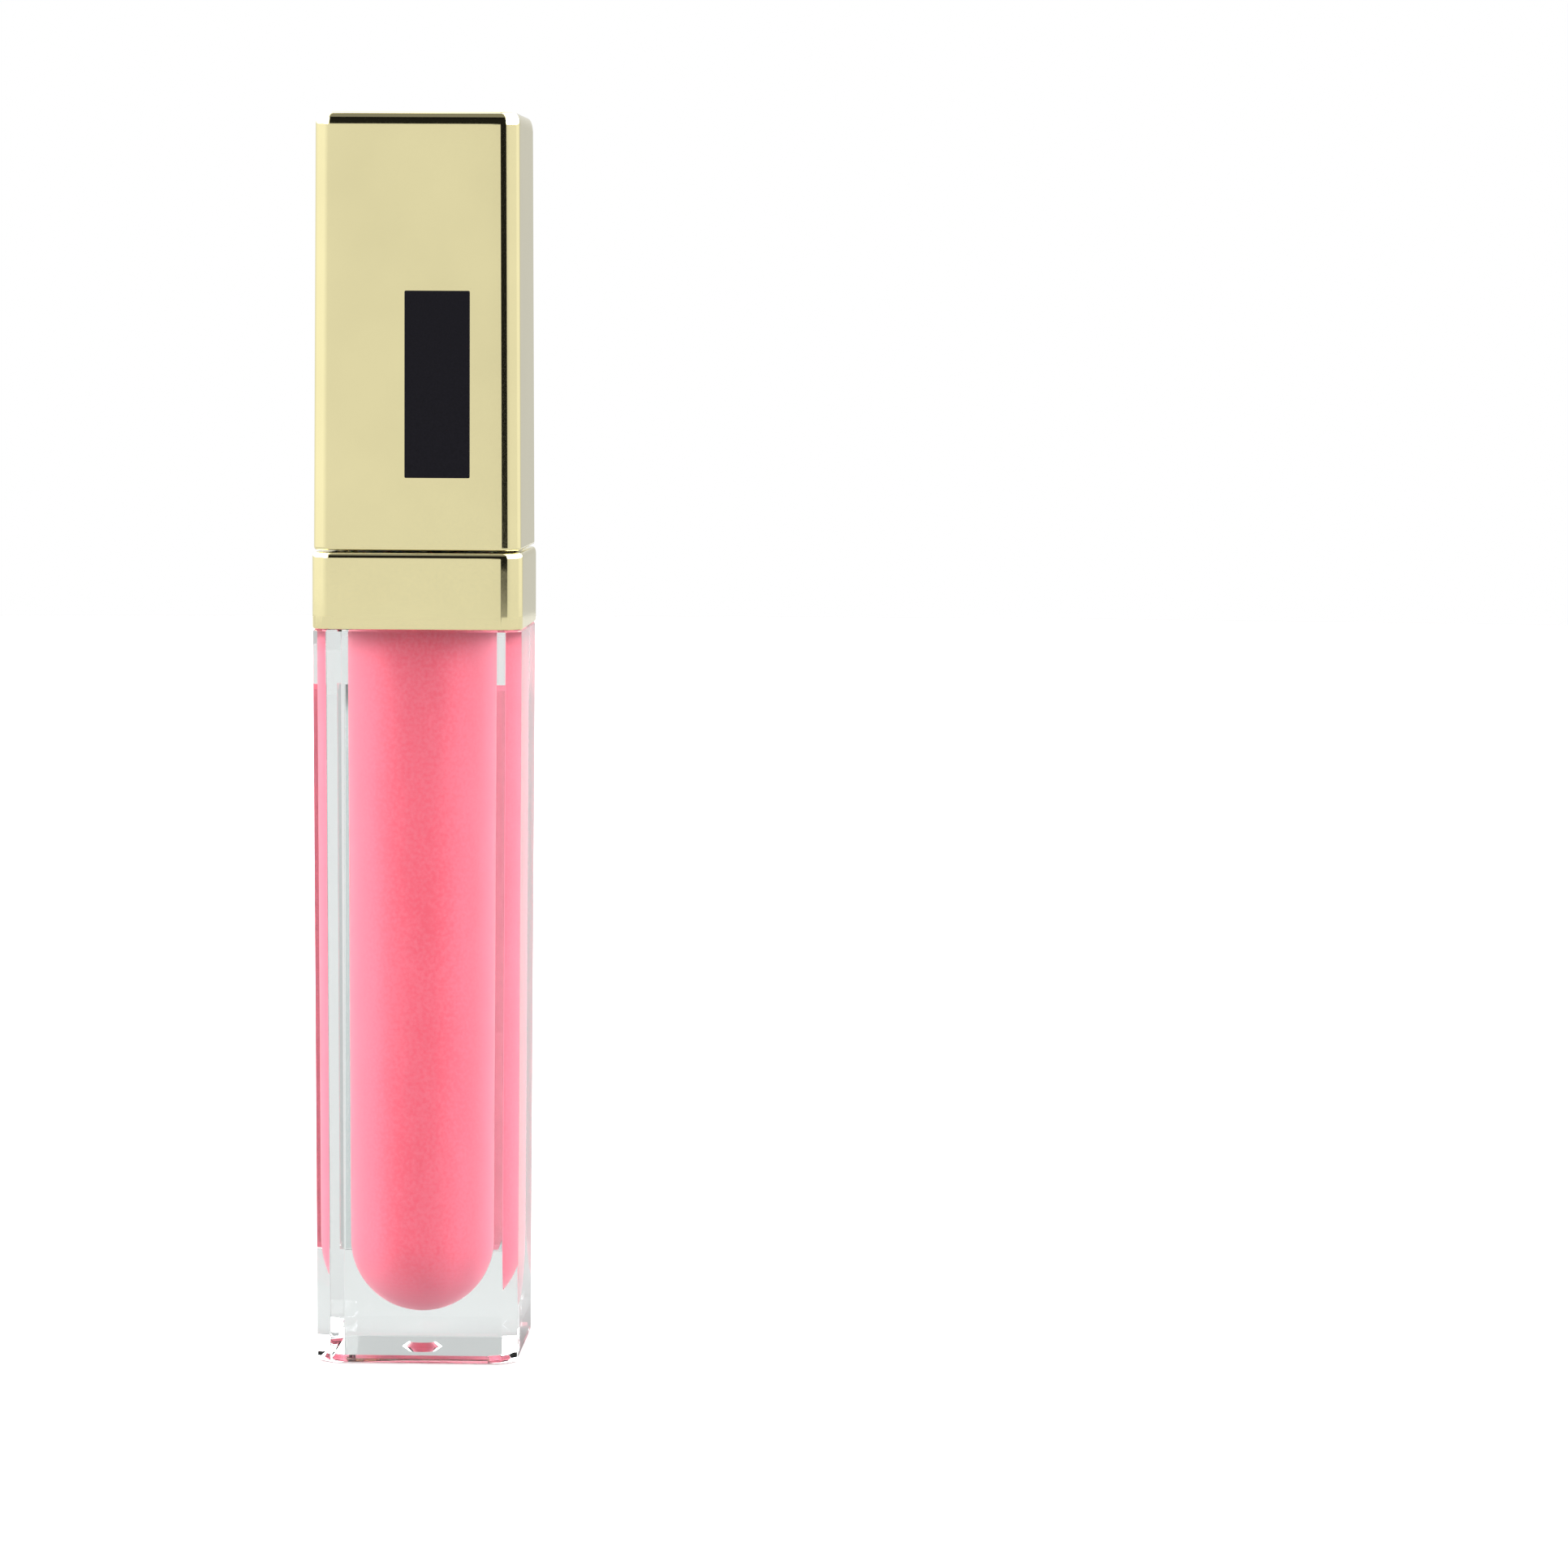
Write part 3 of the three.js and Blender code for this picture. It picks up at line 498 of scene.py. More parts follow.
MATERIALS = {
    "gold": gold(),
    "acrylic": acrylic(),
    "gloss": pearl_gloss(),
    "mirror": silvered(),
    "film": clear_film(),
    "label": label_ink(),
    "natural": moulded("natural_plastic", linear(168, 171, 171), 0.35, 0.06, soft=0.35),
    "soft": moulded("soft_plastic", linear(176, 174, 169), 0.5, 0.06, soft=0.3),
    "frosted": moulded("frosted_plastic", linear(164, 168, 171), 0.3, 0.06, soft=0.3),
    "white": moulded("white_plastic", linear(178, 176, 171), 0.4, 0.06),
    "brass": metal("contact_brass", linear(222, 190, 112), 0.28, (1, 6, 1)),
    "steel": metal("spring_steel", linear(196, 197, 200), 0.25, (1, 1, 6)),
    "cell": metal("cell_steel", linear(205, 206, 206), 0.2, (1, 1, 8)),
    "board": board_green(),
    "led": moulded("led_lens", linear(196, 186, 104), 0.25, 0.08, grain=6.0, depth=0.01, soft=0.3),
    "resistor": moulded("resistor_black", linear(34, 35, 38), 0.4, 0.2, grain=6.0, depth=0.01),
    "flock": flocked(),
}


def place(obj, body, material, slot, *nodes):
    """Gives a piece its material and its body, and hides the CAD nodes that it stands for. slot is not
    used.
    """
    obj.data.materials.append(MATERIALS[material])
    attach(obj, body)
    if nodes:
        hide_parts(*nodes)
    return obj


def finish_node(name, material):
    """A better material on a CAD node that keeps its own shape."""
    for slot in NODES[name].material_slots:
        slot.material = MATERIALS[material]


# ---------------------------------------------------------------- gold shells


def edge_curve(down, across, steps):
    """(height below the end, inset) pairs round the elliptical edge of an end face."""
    pairs = []
    for step in range(steps + 1):
        angle = (step / steps) * math.pi / 2
        pairs.append((down * (1 - math.sin(angle)), across * (1 - math.cos(angle))))
    return pairs


def gold_rings(body, fillet, top_edge, foot_edge):
    """Outer rings of a gold shell, from the inner border of its foot to that of its top."""
    foot = [body.ring(body.bottom + up, fillet, inset) for up, inset in foot_edge[::-1]]
    levels = 6
    wall_low = body.bottom + foot_edge[0][0]
    wall_high = body.top - top_edge[0][0]
    wall = []
    for level in range(1, levels):
        z = wall_low + (wall_high - wall_low) * level / levels
        wall.append(body.ring(z, fillet))
    top = [body.ring(body.top - down, fillet, inset) for down, inset in top_edge]
    return foot + wall + top


def build_cap_shell():
    """The cap's shell: long soft edges round its top, and a tight edge round its mouth."""
    outer = gold_rings(CAP, GOLD_FILLET, edge_curve(1.2, 0.5, 10), edge_curve(0.25, 0.2, 4))
    roof = CAP.top - SHELL_ROOF
    flare = 0.15
    inner = [CAP.ring(z, INNER_FILLET, SHELL_WALL) for z in (roof, CAP.bottom + flare)]
    mouth = CAP.ring(CAP.bottom, INNER_FILLET, SHELL_WALL - flare)
    shell = loft("cap_shell_gold", [*inner, mouth, *outer], roof, CAP.top, 25)
    keep_flats_flat(shell)
    return place(shell, "cap", "gold", "gold", "cap_shell")


def build_collar():
    """The collar: a square sleeve with a roof that the neck passes through."""
    outer = gold_rings(COLLAR, GOLD_FILLET, edge_curve(0.55, 0.3, 8), edge_curve(0.2, 0.15, 4))
    wall, roof, flare = 1.2, 1.1, 0.1
    passage = NECK_RADIUS + THREAD["depth"] + THREAD["clearance"]
    under_roof = COLLAR.top - roof
    rings = [
        circle(COLLAR.top - flare, passage),
        circle(under_roof, passage),
        COLLAR.ring(under_roof, INNER_FILLET, wall),
        COLLAR.ring(COLLAR.bottom + flare, INNER_FILLET, wall),
        COLLAR.ring(COLLAR.bottom, INNER_FILLET, wall - flare),
        *outer,
        circle(COLLAR.top, passage + flare),
    ]
    collar = loft("collar_gold", rings, sharp=25)
    keep_flats_flat(collar)
    return place(collar, "bottle", "gold", "gold", "collar")


# ---------------------------------------------------------------- bottle, gloss and mirror


def chamber_profile(offset, top):
    """(radius, z) points of the chamber from its floor up, moved outwards by offset."""
    radius = CHAMBER["low"] + offset
    centre = CHAMBER["floor"] + CHAMBER["low"]
    steps = 24
    profile = []
    for step in range(1, steps + 1):
        angle = (step / steps) * math.pi / 2
        profile.append((radius * math.sin(angle), centre - radius * math.cos(angle)))
    levels = 6
    draft = (CHAMBER["top"] - CHAMBER["low"]) / (BOTTLE.top - centre)
    for level in range(1, levels + 1):
        z = centre + (top - centre) * level / levels
        profile.append((radius + draft * (z - centre), z))
    return profile


def dimple_rings():
    """The gate mark in the hollow's ceiling, a shallow cone with a flat top."""
    top = RECESS_DEPTH + DIMPLE_DEPTH
    return [circle(top, DIMPLE_TOP), circle(RECESS_DEPTH, DIMPLE_RADIUS)]


def recess_rings():
    """The hollow in the base, from its ceiling down to the rim that the bottle stands on."""
    corner_leg, corner_radius = 1.0, 1.2
    ceiling = section(RECESS_DEPTH, RECESS_HALF, corner_leg, corner_radius)
    mouth = section(0, RECESS_HALF + RECESS_DEPTH, corner_leg, corner_radius)
    return [ceiling, mouth]


def bottle_outside():
    """The rounded foot, the drafted wall and the broken edge of the shoulder."""
    foot = []
    steps = 8
    for step in range(steps + 1):
        angle = (step / steps) * math.pi / 2
        z = FOOT_RADIUS * (1 - math.cos(angle))
        foot.append(BOTTLE.ring(z, CLEAR_FILLET, FOOT_RADIUS * (1 - math.sin(angle))))
    levels, edge = 8, 0.15
    low, high = FOOT_RADIUS, BOTTLE.top - edge
    wall = [BOTTLE.ring(low + (high - low) * n / levels, CLEAR_FILLET) for n in range(1, levels + 1)]
    rim = BOTTLE.ring(BOTTLE.top, CLEAR_FILLET, edge)
    return [*foot, *wall, rim]


def cut_pocket(bottle):
    """Cuts the shallow pocket of the mirror into the back wall."""
    low, high = box_mm("mirror_plate")
    film_low, _ = box_mm("mirror_adhesive")
    margin, behind_film = 0.1, 0.05
    depth = high.y - film_low.y
    lean = math.atan((BOTTLE.half_top - BOTTLE.half_bottom) / (BOTTLE.top - BOTTLE.bottom))
    rise = (high.z - low.z) * math.tan(lean)
    floor_y = depth - rise + behind_film
    half_width = high.x + margin
    reach = 3.0  # the tool stands this far out of the wall
    outline = (-half_width, -floor_y), (half_width, -floor_y), (half_width, reach), (-half_width, reach)
    corners = []
    for z in (-margin, high.z - low.z + margin):
        corners += [Vector((x, y, z)) for x, y in outline]
    sides = [(0, 1, 5, 4), (1, 2, 6, 5), (2, 3, 7, 6), (3, 0, 4, 7), (3, 2, 1, 0), (4, 5, 6, 7)]
    tool = add_mesh("pocket_tool", corners, sides)
    foot = Vector((0, BOTTLE.half(low.z), low.z)) * MM
    tool.matrix_world = Matrix.Translation(foot) @ Matrix.Rotation(-lean, 4, "X")
    cut = bottle.modifiers.new("pocket", "BOOLEAN")
    cut.object = tool
    cut.operation = "DIFFERENCE"
    cut.solver = "EXACT"
    bpy.context.view_layer.update()
    evaluated = bottle.evaluated_get(bpy.context.evaluated_depsgraph_get())
    made = bpy.data.meshes.new_from_object(evaluated)
    bottle.modifiers.clear()
    bottle.data = made
    made.name = bottle.name
    made.set_sharp_from_angle(angle=math.radians(25))
    bpy.data.objects.remove(tool)


def build_bottle():
    """The bottle in one piece: outside, shoulder boss, mouth and chamber."""
    boss_top = box_mm("bottle")[1].z
    shoulder = [section(z, BOSS_HALF, BOSS_LEG, 0.2) for z in (BOTTLE.top, boss_top)]
    chamber = [circle(z, radius) for radius, z in chamber_profile(0, boss_top)][::-1]
    rings = [*dimple_rings(), *recess_rings(), *bottle_outside(), *shoulder, *chamber]
    bottle = loft("bottle_clear", rings, RECESS_DEPTH + DIMPLE_DEPTH, CHAMBER["floor"], 25)
    cut_pocket(bottle)
    keep_flats_flat(bottle)
    return place(bottle, "bottle", "acrylic", "clear_acrylic", "bottle")


def build_gloss():
    """The gloss, with the wand's own space left open."""
    surface = box_mm("gloss_fill")[1].z
    well_radius, well_floor = 1.9, box_mm("applicator_flock")[0].z - 0.3
    outline = [(0, CHAMBER["floor"] - CONTACT), *chamber_profile(CONTACT, surface)]
    outline += [(well_radius, surface), (well_radius, well_floor), (0, well_floor)]
    gloss = turned("gloss_body", outline, 0.01)
    return place(gloss, "bottle", "gloss", "gloss", "gloss_fill")


# ---------------------------------------------------------------- label


def build_label():
    """The black panel on the front of the cap, with slightly rounded corners and edges."""
    low, high = box_mm("label_panel")
    lean = math.atan((CAP.half_bottom - CAP.half_top) / (CAP.top - CAP.bottom))
    middle = (low + high) / 2
    half_x, half_z = (high.x - low.x) / 2, (high.z - low.z) / 2
    depth = 0.12
    corner, bevel = 0.12, 0.04
    rings = []
    for out, inset in ((0, 0), (depth - bevel, 0), (depth, bevel)):
        rings.append(panel_outline(half_x - inset, half_z - inset, corner, out))
    label = loft("label_plate", rings, 0, depth, 30)
    stand_on_front(label, middle, lean)
    return place(label, "cap", "label", "label_black", "label_panel")


def panel_outline(half_x, half_z, corner, height):
    """A rectangle with round corners, flat in XY at this height."""
    ring = []
    for turn in range(4):
        sign_x, sign_y = ((1, 1), (-1, 1), (-1, -1), (1, -1))[turn]
        centre = Vector((sign_x * (half_x - corner), sign_y * (half_z - corner), height))
        for step in range(5):
            angle = (turn + step / 4) * math.pi / 2
            ring.append(centre + corner * Vector((math.cos(angle), math.sin(angle), 0)))
    return ring


def stand_on_front(obj, middle, lean, clearance=0.02):
    """Turns a piece drawn flat in XY on to the cap's front face, centred on middle."""
    turn = Matrix.Rotation(math.pi / 2 - lean, 4, "X")
    back = -CAP.half(middle.z) - clearance
    obj.data.transform(Matrix.Translation(Vector((middle.x, back, middle.z)) * MM) @ turn)


# ---------------------------------------------------------------- neck, wiper and inner cap


def ridge(angle, z, start):
    """How far a one-turn thread ridge stands out at this angle and height, from 0 to 1."""
    half_step = math.radians(5)
    turn = ((angle - half_step) % (2 * math.pi)) / (2 * math.pi)
    distance = abs(z - start - THREAD["lead"] * turn)
    run_out = 0.11
    ends = min(1.0, turn / run_out, (1 - turn) / run_out)
    root_half, crest_half = 0.5, 0.25
    flank = min(1.0, max(0.0, (root_half - distance) / (root_half - crest_half)))
    return flank * flank * (3 - 2 * flank) * math.sin(ends * math.pi / 2)


def threaded_rings(bottom, top, wall, reach, start, directions):
    """Rings up a round wall whose thread stands out from it by reach, inwards if negative."""
    rings = []
    row_height = 0.12
    rows = int((top - bottom) / row_height)
    for row in range(rows + 1):
        z = bottom + (top - bottom) * row / rows
        rings.append(circle(z, lambda a, z=z: wall + reach * ridge(a, z, start), directions))
    return rings


def build_neck():
    """The threaded neck with its square flange and the plug that seals the mouth."""
    low, high = box_mm("neck_insert")
    flange_low, flange_high = box_mm("bottle")[1].z + 0.05, 70.45
    plug_radius = CHAMBER["top"] - 0.08
    lead_in = 0.25
    flange = [section(z, high.x, 1.0, 0.3) for z in (flange_low, flange_high)]
    outside = threaded_rings(
        flange_high + 0.05, high.z - lead_in, NECK_RADIUS, THREAD["depth"], THREAD["start"], DIRECTIONS
    )
    rings = [
        circle(low.z, plug_radius - lead_in),
        circle(low.z + lead_in, plug_radius),
        circle(flange_low, plug_radius),
        *flange,
        *outside,
        circle(high.z, NECK_RADIUS - lead_in),
        circle(high.z, NECK_BORE),
        circle(low.z, NECK_BORE),
    ]
    neck = loft("neck_threaded", rings, sharp=35)
    return place(neck, "bottle", "natural", "natural_plastic", "neck_insert")


def build_inner_cap():
    """The inner cap: a square block with a threaded bore, and a hole for the switch."""
    low, high = box_mm("inner_cap")
    bore = NECK_RADIUS + THREAD["depth"] + THREAD["clearance"]
    bore_top, hole = 82.3, 4.75
    start = THREAD["start"] - THREAD["lead"] / 2
    inside = threaded_rings(low.z + 0.2, bore_top, bore, -THREAD["depth"], start, DIRECTIONS)
    edge = 0.15
    rings = [
        *[section(z, high.x - inset, 0.6, 0.3) for z, inset in ((low.z, edge), (low.z + edge, 0))],
        *[section(z, high.x - inset, 0.6, 0.3) for z, inset in ((high.z - edge, 0), (high.z, edge))],
        circle(high.z, hole),
        circle(bore_top, hole),
        *inside[::-1],
        circle(low.z, bore + 0.2),
    ]
    inner = loft("inner_cap_threaded", rings, sharp=35)
    return place(inner, "cap", "frosted", "frosted_plastic", "inner_cap")


def build_wiper():
    """The wiper: a flanged sleeve that closes to a thin lip round the wand."""
    low, high = box_mm("wiper")
    outer, wall, lip, cone_top = NECK_BORE - 0.05, 0.55, 1.85, 73.5
    seat = high.z - 0.75
    profile = [
        (lip, low.z),
        (lip + wall, low.z),
        (outer, cone_top - wall),
        (outer, seat),
        (high.x, seat),
        (high.x, high.z),
        (outer - wall, high.z),
        (outer - wall, cone_top),
        (lip, low.z + wall),
    ]
    wiper = turned("wiper_sleeve", profile, 0.12)
    return place(wiper, "bottle", "soft", "soft_plastic", "wiper")


def build_ring(name, node, body, material, slot, hole, soft):
    """A plain ring that fills a CAD node's box, round a hole of this radius. soft rounds it."""
    low, high = box_mm(node)
    outer = high.x
    profile = [(hole, low.z), (outer, low.z), (outer, high.z), (hole, high.z)]
    return place(turned(name, profile, soft), body, material, slot, node)


def build_plunger():
    """The switch plunger: a tube with a flange that the spring stands on."""
    low, high = box_mm("switch_plunger")
    bore, radius, flange = 2.55, 4.6, high.z - 0.8
    profile = [(bore, low.z), (radius, low.z), (radius, flange), (high.x, flange)]
    profile += [(high.x, high.z), (bore, high.z)]
    plunger = turned("plunger_tube", profile, 0.12)
    return place(plunger, "plunger", "white", "white_plastic", "switch_plunger")


def build_cells():
    """The three button cells, each a can crimped round its negative cap."""
    for number in (1, 2, 3):
        node = f"button_cell_{number}"
        low, high = box_mm(node)
        radius = high.x
        profile = [
            (0, low.z),
            (radius - 0.8, low.z),
            (radius - 0.75, low.z + 0.25),
            (radius - 0.62, low.z + 0.18),
            (radius - 0.3, low.z + 0.14),
            (radius, low.z + 0.45),
            (radius, high.z),
            (0, high.z),
        ]
        cell = turned(f"cell_can_{number}", profile, 0.15)
        place(cell, "cap", "cell", "cell_steel", node)


def build_stem():
    """The wand's stem, with a stouter root that is glued into the light unit."""
    low, high = box_mm("wand_stem")
    radius, root, root_bottom, taper = 1.6, high.x, 76.5, 1.2
    socket, socket_top = 0.95, low.z + 6.05
    profile = [
        (socket, low.z),
        (radius, low.z),
        (radius, root_bottom - taper),
        (root, root_bottom),
        (root, high.z),
        (0, high.z),
        (0, socket_top),
        (socket, socket_top),
    ]
    outside, inside = profile[:5], profile[5:]
    rounded = [tuple(p) for p in soften(outside, 0.15, False)]
    closed = [profile[0], *rounded[1:], *inside]
    rings = [circle(z, max(r, 0.01), EVEN_DIRECTIONS) for r, z in closed]
    stem = loft("wand_stem_rod", rings, sharp=35)
    return place(stem, "cap", "white", "white_plastic", "wand_stem")


def build_flock():
    """The flocked doe-foot tip: a round nose with a slanted front, and fibres all over."""
    low, high = box_mm("applicator_flock")
    radius, length = 1.6, high.z - low.z
    rows = 90
    nose_share, waist_share, waist_depth = 0.22, 0.85, 0.12
    slant, nose_offset = 0.16, 0.1
    fibre_room = 0.03
    rings = []
    for row in range(1, rows + 1):
        share = row / rows
        z = low.z + length * share
        nose = math.sqrt(1 - (1 - min(1.0, share / nose_share)) ** 2)
        waist = 1 - waist_depth * math.sin(math.pi * min(1.0, share / waist_share))
        front = nose_offset - math.tan(slant) * (z - low.z)
        ring = circle(z, (radius - fibre_room) * nose * waist, EVEN_DIRECTIONS)
        for point in ring:
            point.y = max(point.y, front)
        rings.append(fibres(ring, row))
    inner, roof = radius - 0.45, high.z - 0.4
    hollow = [circle(z, inner, EVEN_DIRECTIONS) for z in (high.z, roof)]
    flock = loft("flocked_doe_foot", [*rings, *hollow], low.z, roof, 60)
    return place(flock, "cap", "flock", "flock", "applicator_flock")


def fibres(ring, row):
    """Lifts the points of a ring by a small repeating scatter, as short fibres do."""
    height = 0.06
    for i, point in enumerate(ring):
        scatter = math.sin(i * 12.9898 + row * 78.233) * 43758.5453
        lift = (scatter - math.floor(scatter) - 0.5) * height
        outward = Vector((point.x, point.y, 0))
        if outward.length > lift:
            point += outward.normalized() * lift
    return ring


def build_spring():
    """The return spring: round wire wound in even turns, its two ends capped."""
    low, high = box_mm("return_spring")
    wire, turns = 0.25, 3.0
    radius = high.x - wire
    rise = high.z - low.z - 2 * wire
    steps, sides = 144, 12
    rings = []
    for step in range(steps + 1):
        share = step / steps
        angle = share * turns * 2 * math.pi
        centre = Vector((radius * math.cos(angle), radius * math.sin(angle), low.z + wire + share * rise))
        outward = Vector((math.cos(angle), math.sin(angle), 0))
        up = Vector((0, 0, 1))
        ring = []
        for side in range(sides):
            around = -2 * math.pi * side / sides
            ring.append(centre + wire * (outward * math.cos(around) + up * math.sin(around)))
        rings.append(ring)
    faces, points = [], [p for ring in rings for p in ring]
    for step in range(steps):
        for side in range(sides):
            a, b = step * sides + side, step * sides + (side + 1) % sides
            faces.append((a, b, b + sides, a + sides))
    faces.append(tuple(range(sides))[::-1])
    faces.append(tuple(steps * sides + side for side in range(sides)))
    spring = add_mesh("return_spring_coil", points, faces, 60)
    return place(spring, "spring_seat", "steel", "spring_steel", "return_spring")


# ---------------------------------------------------------------- assembly


def build_object():
    """Every new piece, then the CAD nodes that keep their shape under a better material."""
    build_bottle()
    build_gloss()
    build_collar()
    build_cap_shell()
    build_label()
    build_neck()
    build_inner_cap()
    build_wiper()
    build_ring("gasket_ring", "gasket", "cap", "soft", "soft_plastic", hole=5.35, soft=0.2)
    build_plunger()
    washer = "contact_washer", "contact_ring", "plunger", "brass", "contact_brass"
    build_ring(*washer, hole=4.65, soft=0.04)
    build_spring()
    washer = "thrust_washer", "spring_washer", "spring_seat", "steel", "spring_steel"
    build_ring(*washer, hole=3.6, soft=0.05)
    build_cells()
    build_stem()
    build_flock()
    kept = {
        "mirror": ["mirror_plate"],
        "film": ["mirror_adhesive"],
        "board": ["led_board"],
        "led": ["led_1", "led_2"],
        "resistor": ["series_resistor"],
        "brass": ["contact_leaf_1", "contact_leaf_2", "positive_contact", "negative_contact"],
        "white": ["module_chassis", "chassis_lid"],
        "soft": ["applicator_core"],
    }
    for material, names in kept.items():
        for name in names:
            finish_node(name, material)


# ---------------------------------------------------------------- stage


# Whiteness of the floor where it lights the object, and where the camera sees it.
FLOOR_LIT, FLOOR_SEEN = 0.25, 0.55

# Brightness of the tent below the horizon, and by degrees from the front towards the right:
# at the height of the horizon, and in the soft boxes above it.
GROUND = 0.84
HORIZON = (
    (-180, 0.84), (-172, 0.82), (-130, 0.94), (-105, 1.1), (-85, 1.1), (-62, 0.98), (-42, 0.86),
    (30, 0.86), (46, 0.74), (64, 0.80), (84, 0.88), (100, 1.05), (130, 1.05),
    (160, 0.61), (175, 0.575), (178, 0.72), (180, 0.84),
)
UPPER = (
    (-180, 1.6), (-155, 9.0), (-115, 12.0), (-55, 12.0), (-35, 1.0),
    (46, 1.0), (62, 12.0), (115, 12.0), (155, 9.0), (180, 1.6),
)
BOXES_HIGH_UP = 0.27  # what is left of the boxes in their upper part
BACK_LEVEL = 0.68
ROOF_LIGHT = 3.0

# Elevations where the tent changes, in degrees: the middle of each change and half its height.
GROUND_EDGE = (-5.6, 0.9)
BOX_FOOT = (8, 2.5)
BOX_MIDDLE = (32, 5)
ROOF_EDGE = (84, 4)

# Stretches of azimuth or elevation, in degrees: from, to, and how soft the ends are. A patch low
# behind the object has its own level, and a cloth is dark, between its azimuths and elevations.
ALL_BUT_BACK, BACK_HEIGHTS = (-160, 160, 5), (5, 18, 2)
CLOTH_BESIDE = (-3, 52, 0.5), (-3.45, 38, 0.25)
CLOTH_ABOVE = (-30, 46, 0.5), (8, 38, 1)
CLOTH_DARKNESS = 0.985


def build_floor():
    """A round pale floor. It looks whiter than it lights the object, as paper behind a
    catalogue picture does."""
    radius, drop = 1300.0, 0.02
    steps = 96
    ring = circle(-drop, radius, [2 * math.pi * step / steps for step in range(steps)])
    floor = add_mesh("floor", ring, [tuple(range(steps))])
    material, nodes, shader = new_material("pale_floor")
    cloud = nodes.noise(0.004, 2.0)
    seen = nodes.add("ShaderNodeLightPath").outputs["Is Camera Ray"]
    shade_of_paper = nodes.spread(seen, FLOOR_LIT, FLOOR_SEEN)
    fibre = nodes.spread(cloud, 0.99, 1.01)
    paper = nodes.math("MULTIPLY", shade_of_paper, fibre)
    nodes.put(shader, "Base Color", paper)
    nodes.put(shader, "Roughness", 0.9)
    nodes.put(shader, "Specular IOR Level", 0.0)
    floor.data.materials.append(material)


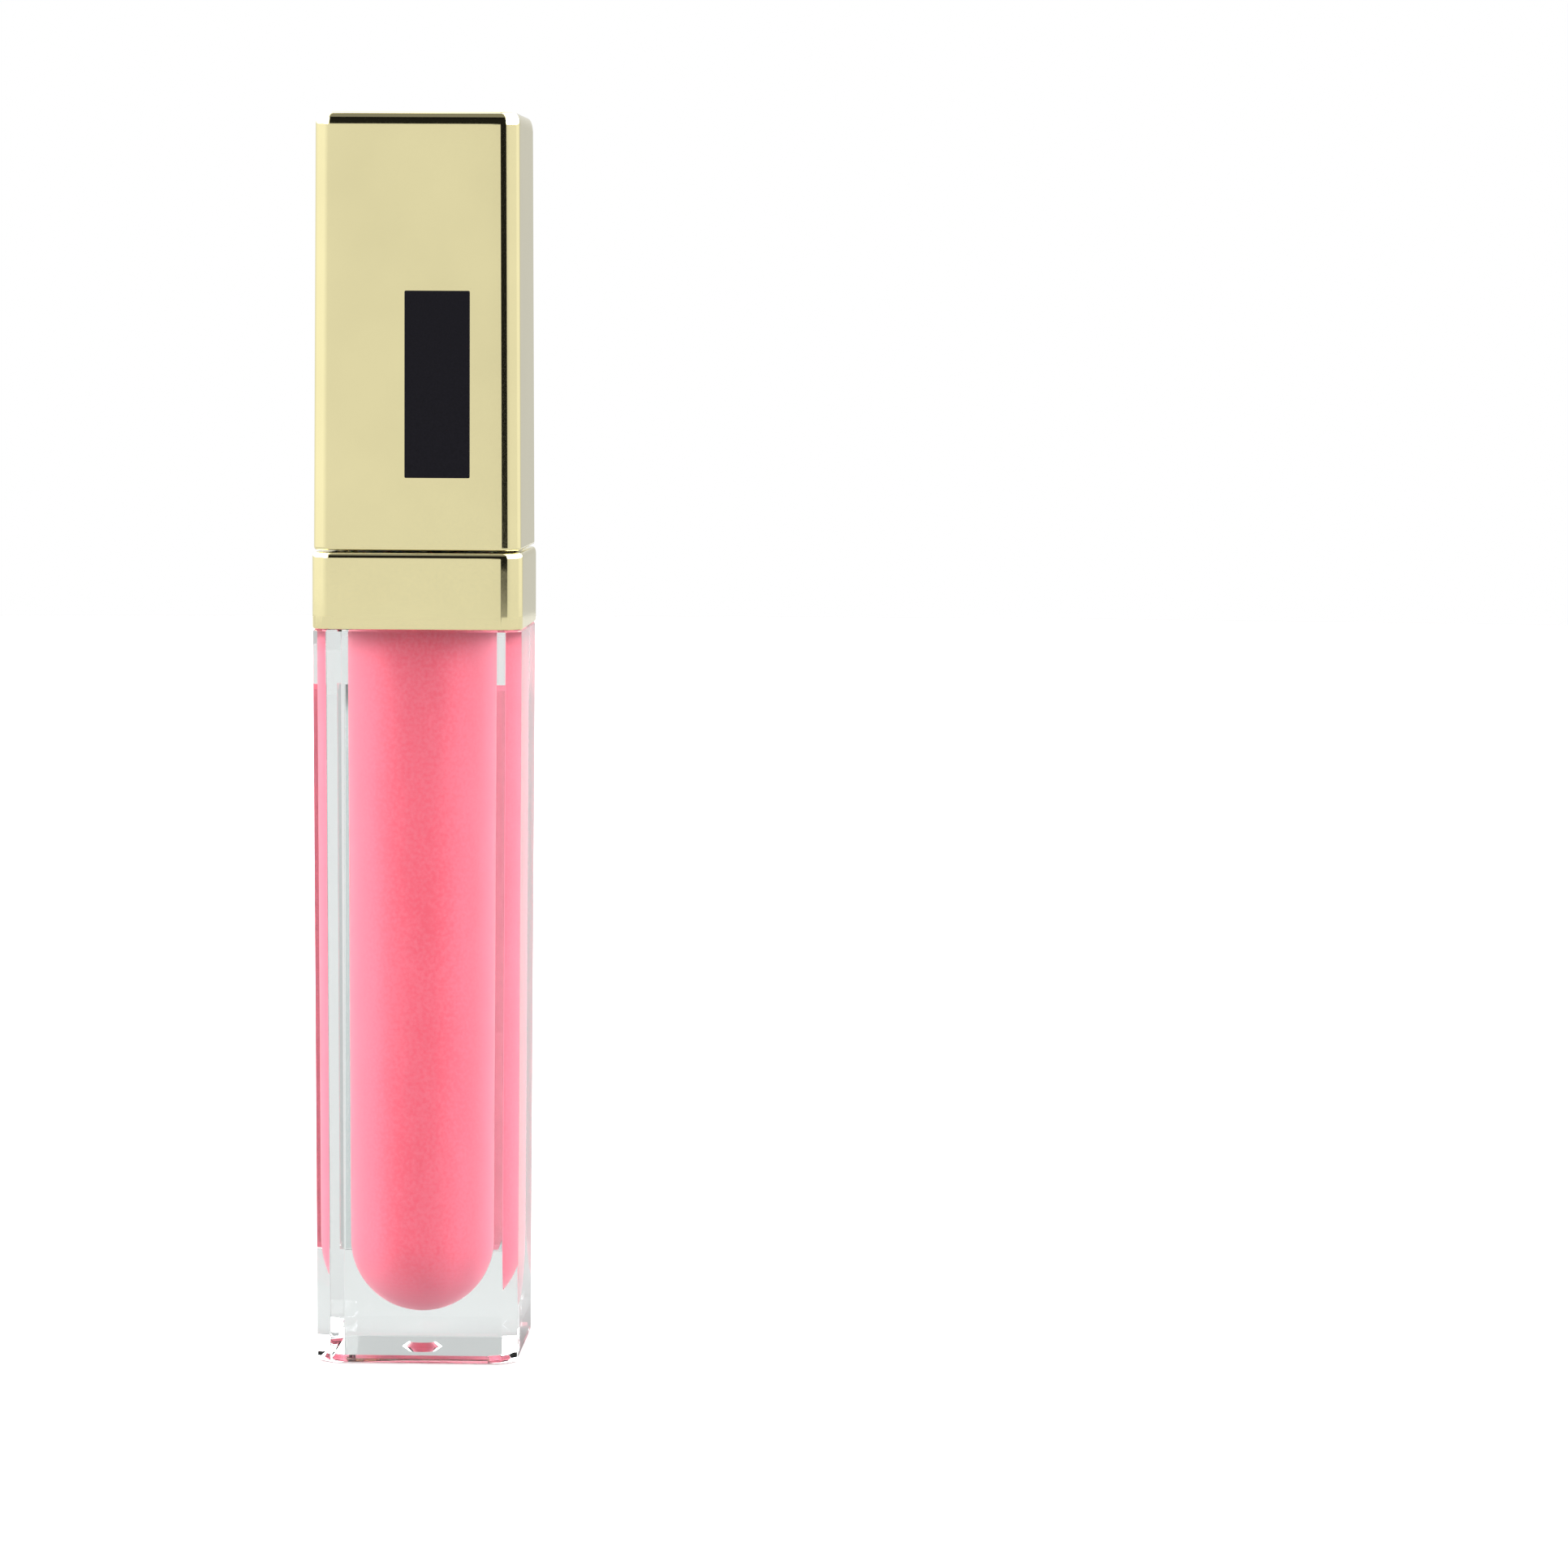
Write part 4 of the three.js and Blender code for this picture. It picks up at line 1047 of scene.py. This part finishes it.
def build_light():
    """A white studio tent as the world: soft boxes above the horizon on both sides, and dark
    cloths in front, where the photographer stands. The camera itself sees plain white paper."""
    world = bpy.data.worlds.new("studio_tent")
    bpy.context.scene.world = world
    world.use_nodes = True
    nodes = Nodes(world.node_tree)
    direction = nodes.add("ShaderNodeTexCoord").outputs["Generated"]
    split = nodes.add("ShaderNodeSeparateXYZ", Vector=direction)
    x, y, z = (split.outputs[axis] for axis in "XYZ")
    azimuth = nodes.math("DEGREES", nodes.math("ARCTAN2", x, nodes.math("MULTIPLY", y, -1.0)))
    elevation = nodes.math("DEGREES", nodes.math("ARCSINE", z))
    turn = nodes.math("ADD", nodes.math("DIVIDE", azimuth, 360.0), 0.5)

    def rise(value, at, soft):
        """From 0 to 1 as the value passes this one."""
        node = nodes.add("ShaderNodeMapRange", Value=value)
        node.interpolation_type = "SMOOTHSTEP"
        node.inputs["From Min"].default_value = at - soft
        node.inputs["From Max"].default_value = at + soft
        return node.outputs["Result"]

    def window(value, low, high, soft):
        """1 between these values and 0 outside."""
        below = nodes.math("SUBTRACT", 1.0, rise(value, high, soft))
        return nodes.math("MULTIPLY", rise(value, low, soft), below)

    def around(levels):
        """Brightness by azimuth. A ramp holds 0 to 1, so the peak is multiplied back in."""
        peak = max(level for _, level in levels)
        stops = [((angle + 180) / 360, (level / peak,) * 3 + (1,)) for angle, level in levels]
        return nodes.math("MULTIPLY", nodes.ramp(turn, *stops), peak)

    def blend(low, high, share):
        """From low to high as the share goes from 0 to 1."""
        kept = nodes.math("MULTIPLY", low, nodes.math("SUBTRACT", 1.0, share))
        return nodes.math("ADD", kept, nodes.math("MULTIPLY", high, share))

    def cloth(azimuths, elevations):
        """1 where a dark cloth hangs and 0 elsewhere."""
        return nodes.math("MULTIPLY", window(azimuth, *azimuths), window(elevation, *elevations))

    level = blend(GROUND, around(HORIZON), rise(elevation, *GROUND_EDGE))
    dimming = blend(1.0, BOXES_HIGH_UP, rise(elevation, *BOX_MIDDLE))
    boxes = nodes.math("MULTIPLY", around(UPPER), dimming)
    walls = blend(level, boxes, rise(elevation, *BOX_FOOT))
    behind = nodes.math("SUBTRACT", 1.0, window(azimuth, *ALL_BUT_BACK))
    low_back = nodes.math("MULTIPLY", behind, window(elevation, *BACK_HEIGHTS))
    backed = blend(walls, BACK_LEVEL, low_back)
    lit = blend(backed, ROOF_LIGHT, rise(elevation, *ROOF_EDGE))
    dark = nodes.math("MAXIMUM", cloth(*CLOTH_BESIDE), cloth(*CLOTH_ABOVE))
    kept_light = nodes.math("SUBTRACT", 1.0, nodes.math("MULTIPLY", dark, CLOTH_DARKNESS))
    tent = nodes.add("ShaderNodeBackground", Strength=nodes.math("MULTIPLY", lit, kept_light))
    tent.inputs["Color"].default_value = (1, 1, 1, 1)
    paper = nodes.add("ShaderNodeBackground")
    paper.inputs["Color"].default_value = (1, 1, 1, 1)
    straight = nodes.add("ShaderNodeLightPath").outputs["Is Camera Ray"]
    mix = nodes.add("ShaderNodeMixShader", Fac=straight)
    world.node_tree.links.new(tent.outputs[0], mix.inputs[1])
    world.node_tree.links.new(paper.outputs[0], mix.inputs[2])
    output = nodes.add("ShaderNodeOutputWorld")
    world.node_tree.links.new(mix.outputs[0], output.inputs["Surface"])


def build_camera():
    """The photograph's view: nearly square on, a little from the right and from above."""
    azimuth, elevation, distance = math.radians(5.464), math.radians(4.065), 519.843 * MM
    aim_azimuth, aim_elevation, roll = math.radians(1.931), math.radians(4.529), math.radians(0.286)
    centre = (cad_low + cad_high) / 2

    def away(a, e):
        """The direction at this azimuth and elevation, seen from the object."""
        return Vector((math.sin(a) * math.cos(e), -math.cos(a) * math.cos(e), math.sin(e)))

    data = bpy.data.cameras.new("camera")
    data.lens = 133.64
    data.sensor_width = 36.0
    data.clip_start, data.clip_end = 0.01, 20.0
    camera = bpy.data.objects.new("camera", data)
    bpy.context.scene.collection.objects.link(camera)
    camera.location = centre + away(azimuth, elevation) * distance
    back = away(aim_azimuth, aim_elevation)
    level = back.to_track_quat("Z", "Y").to_matrix()
    camera.rotation_mode = "QUATERNION"
    camera.rotation_quaternion = (level @ Matrix.Rotation(roll, 3, "Z")).to_quaternion()
    bpy.context.scene.camera = camera
    bpy.context.scene.view_settings.view_transform = "Standard"


build_camera()
build_object()
build_floor()
build_light()
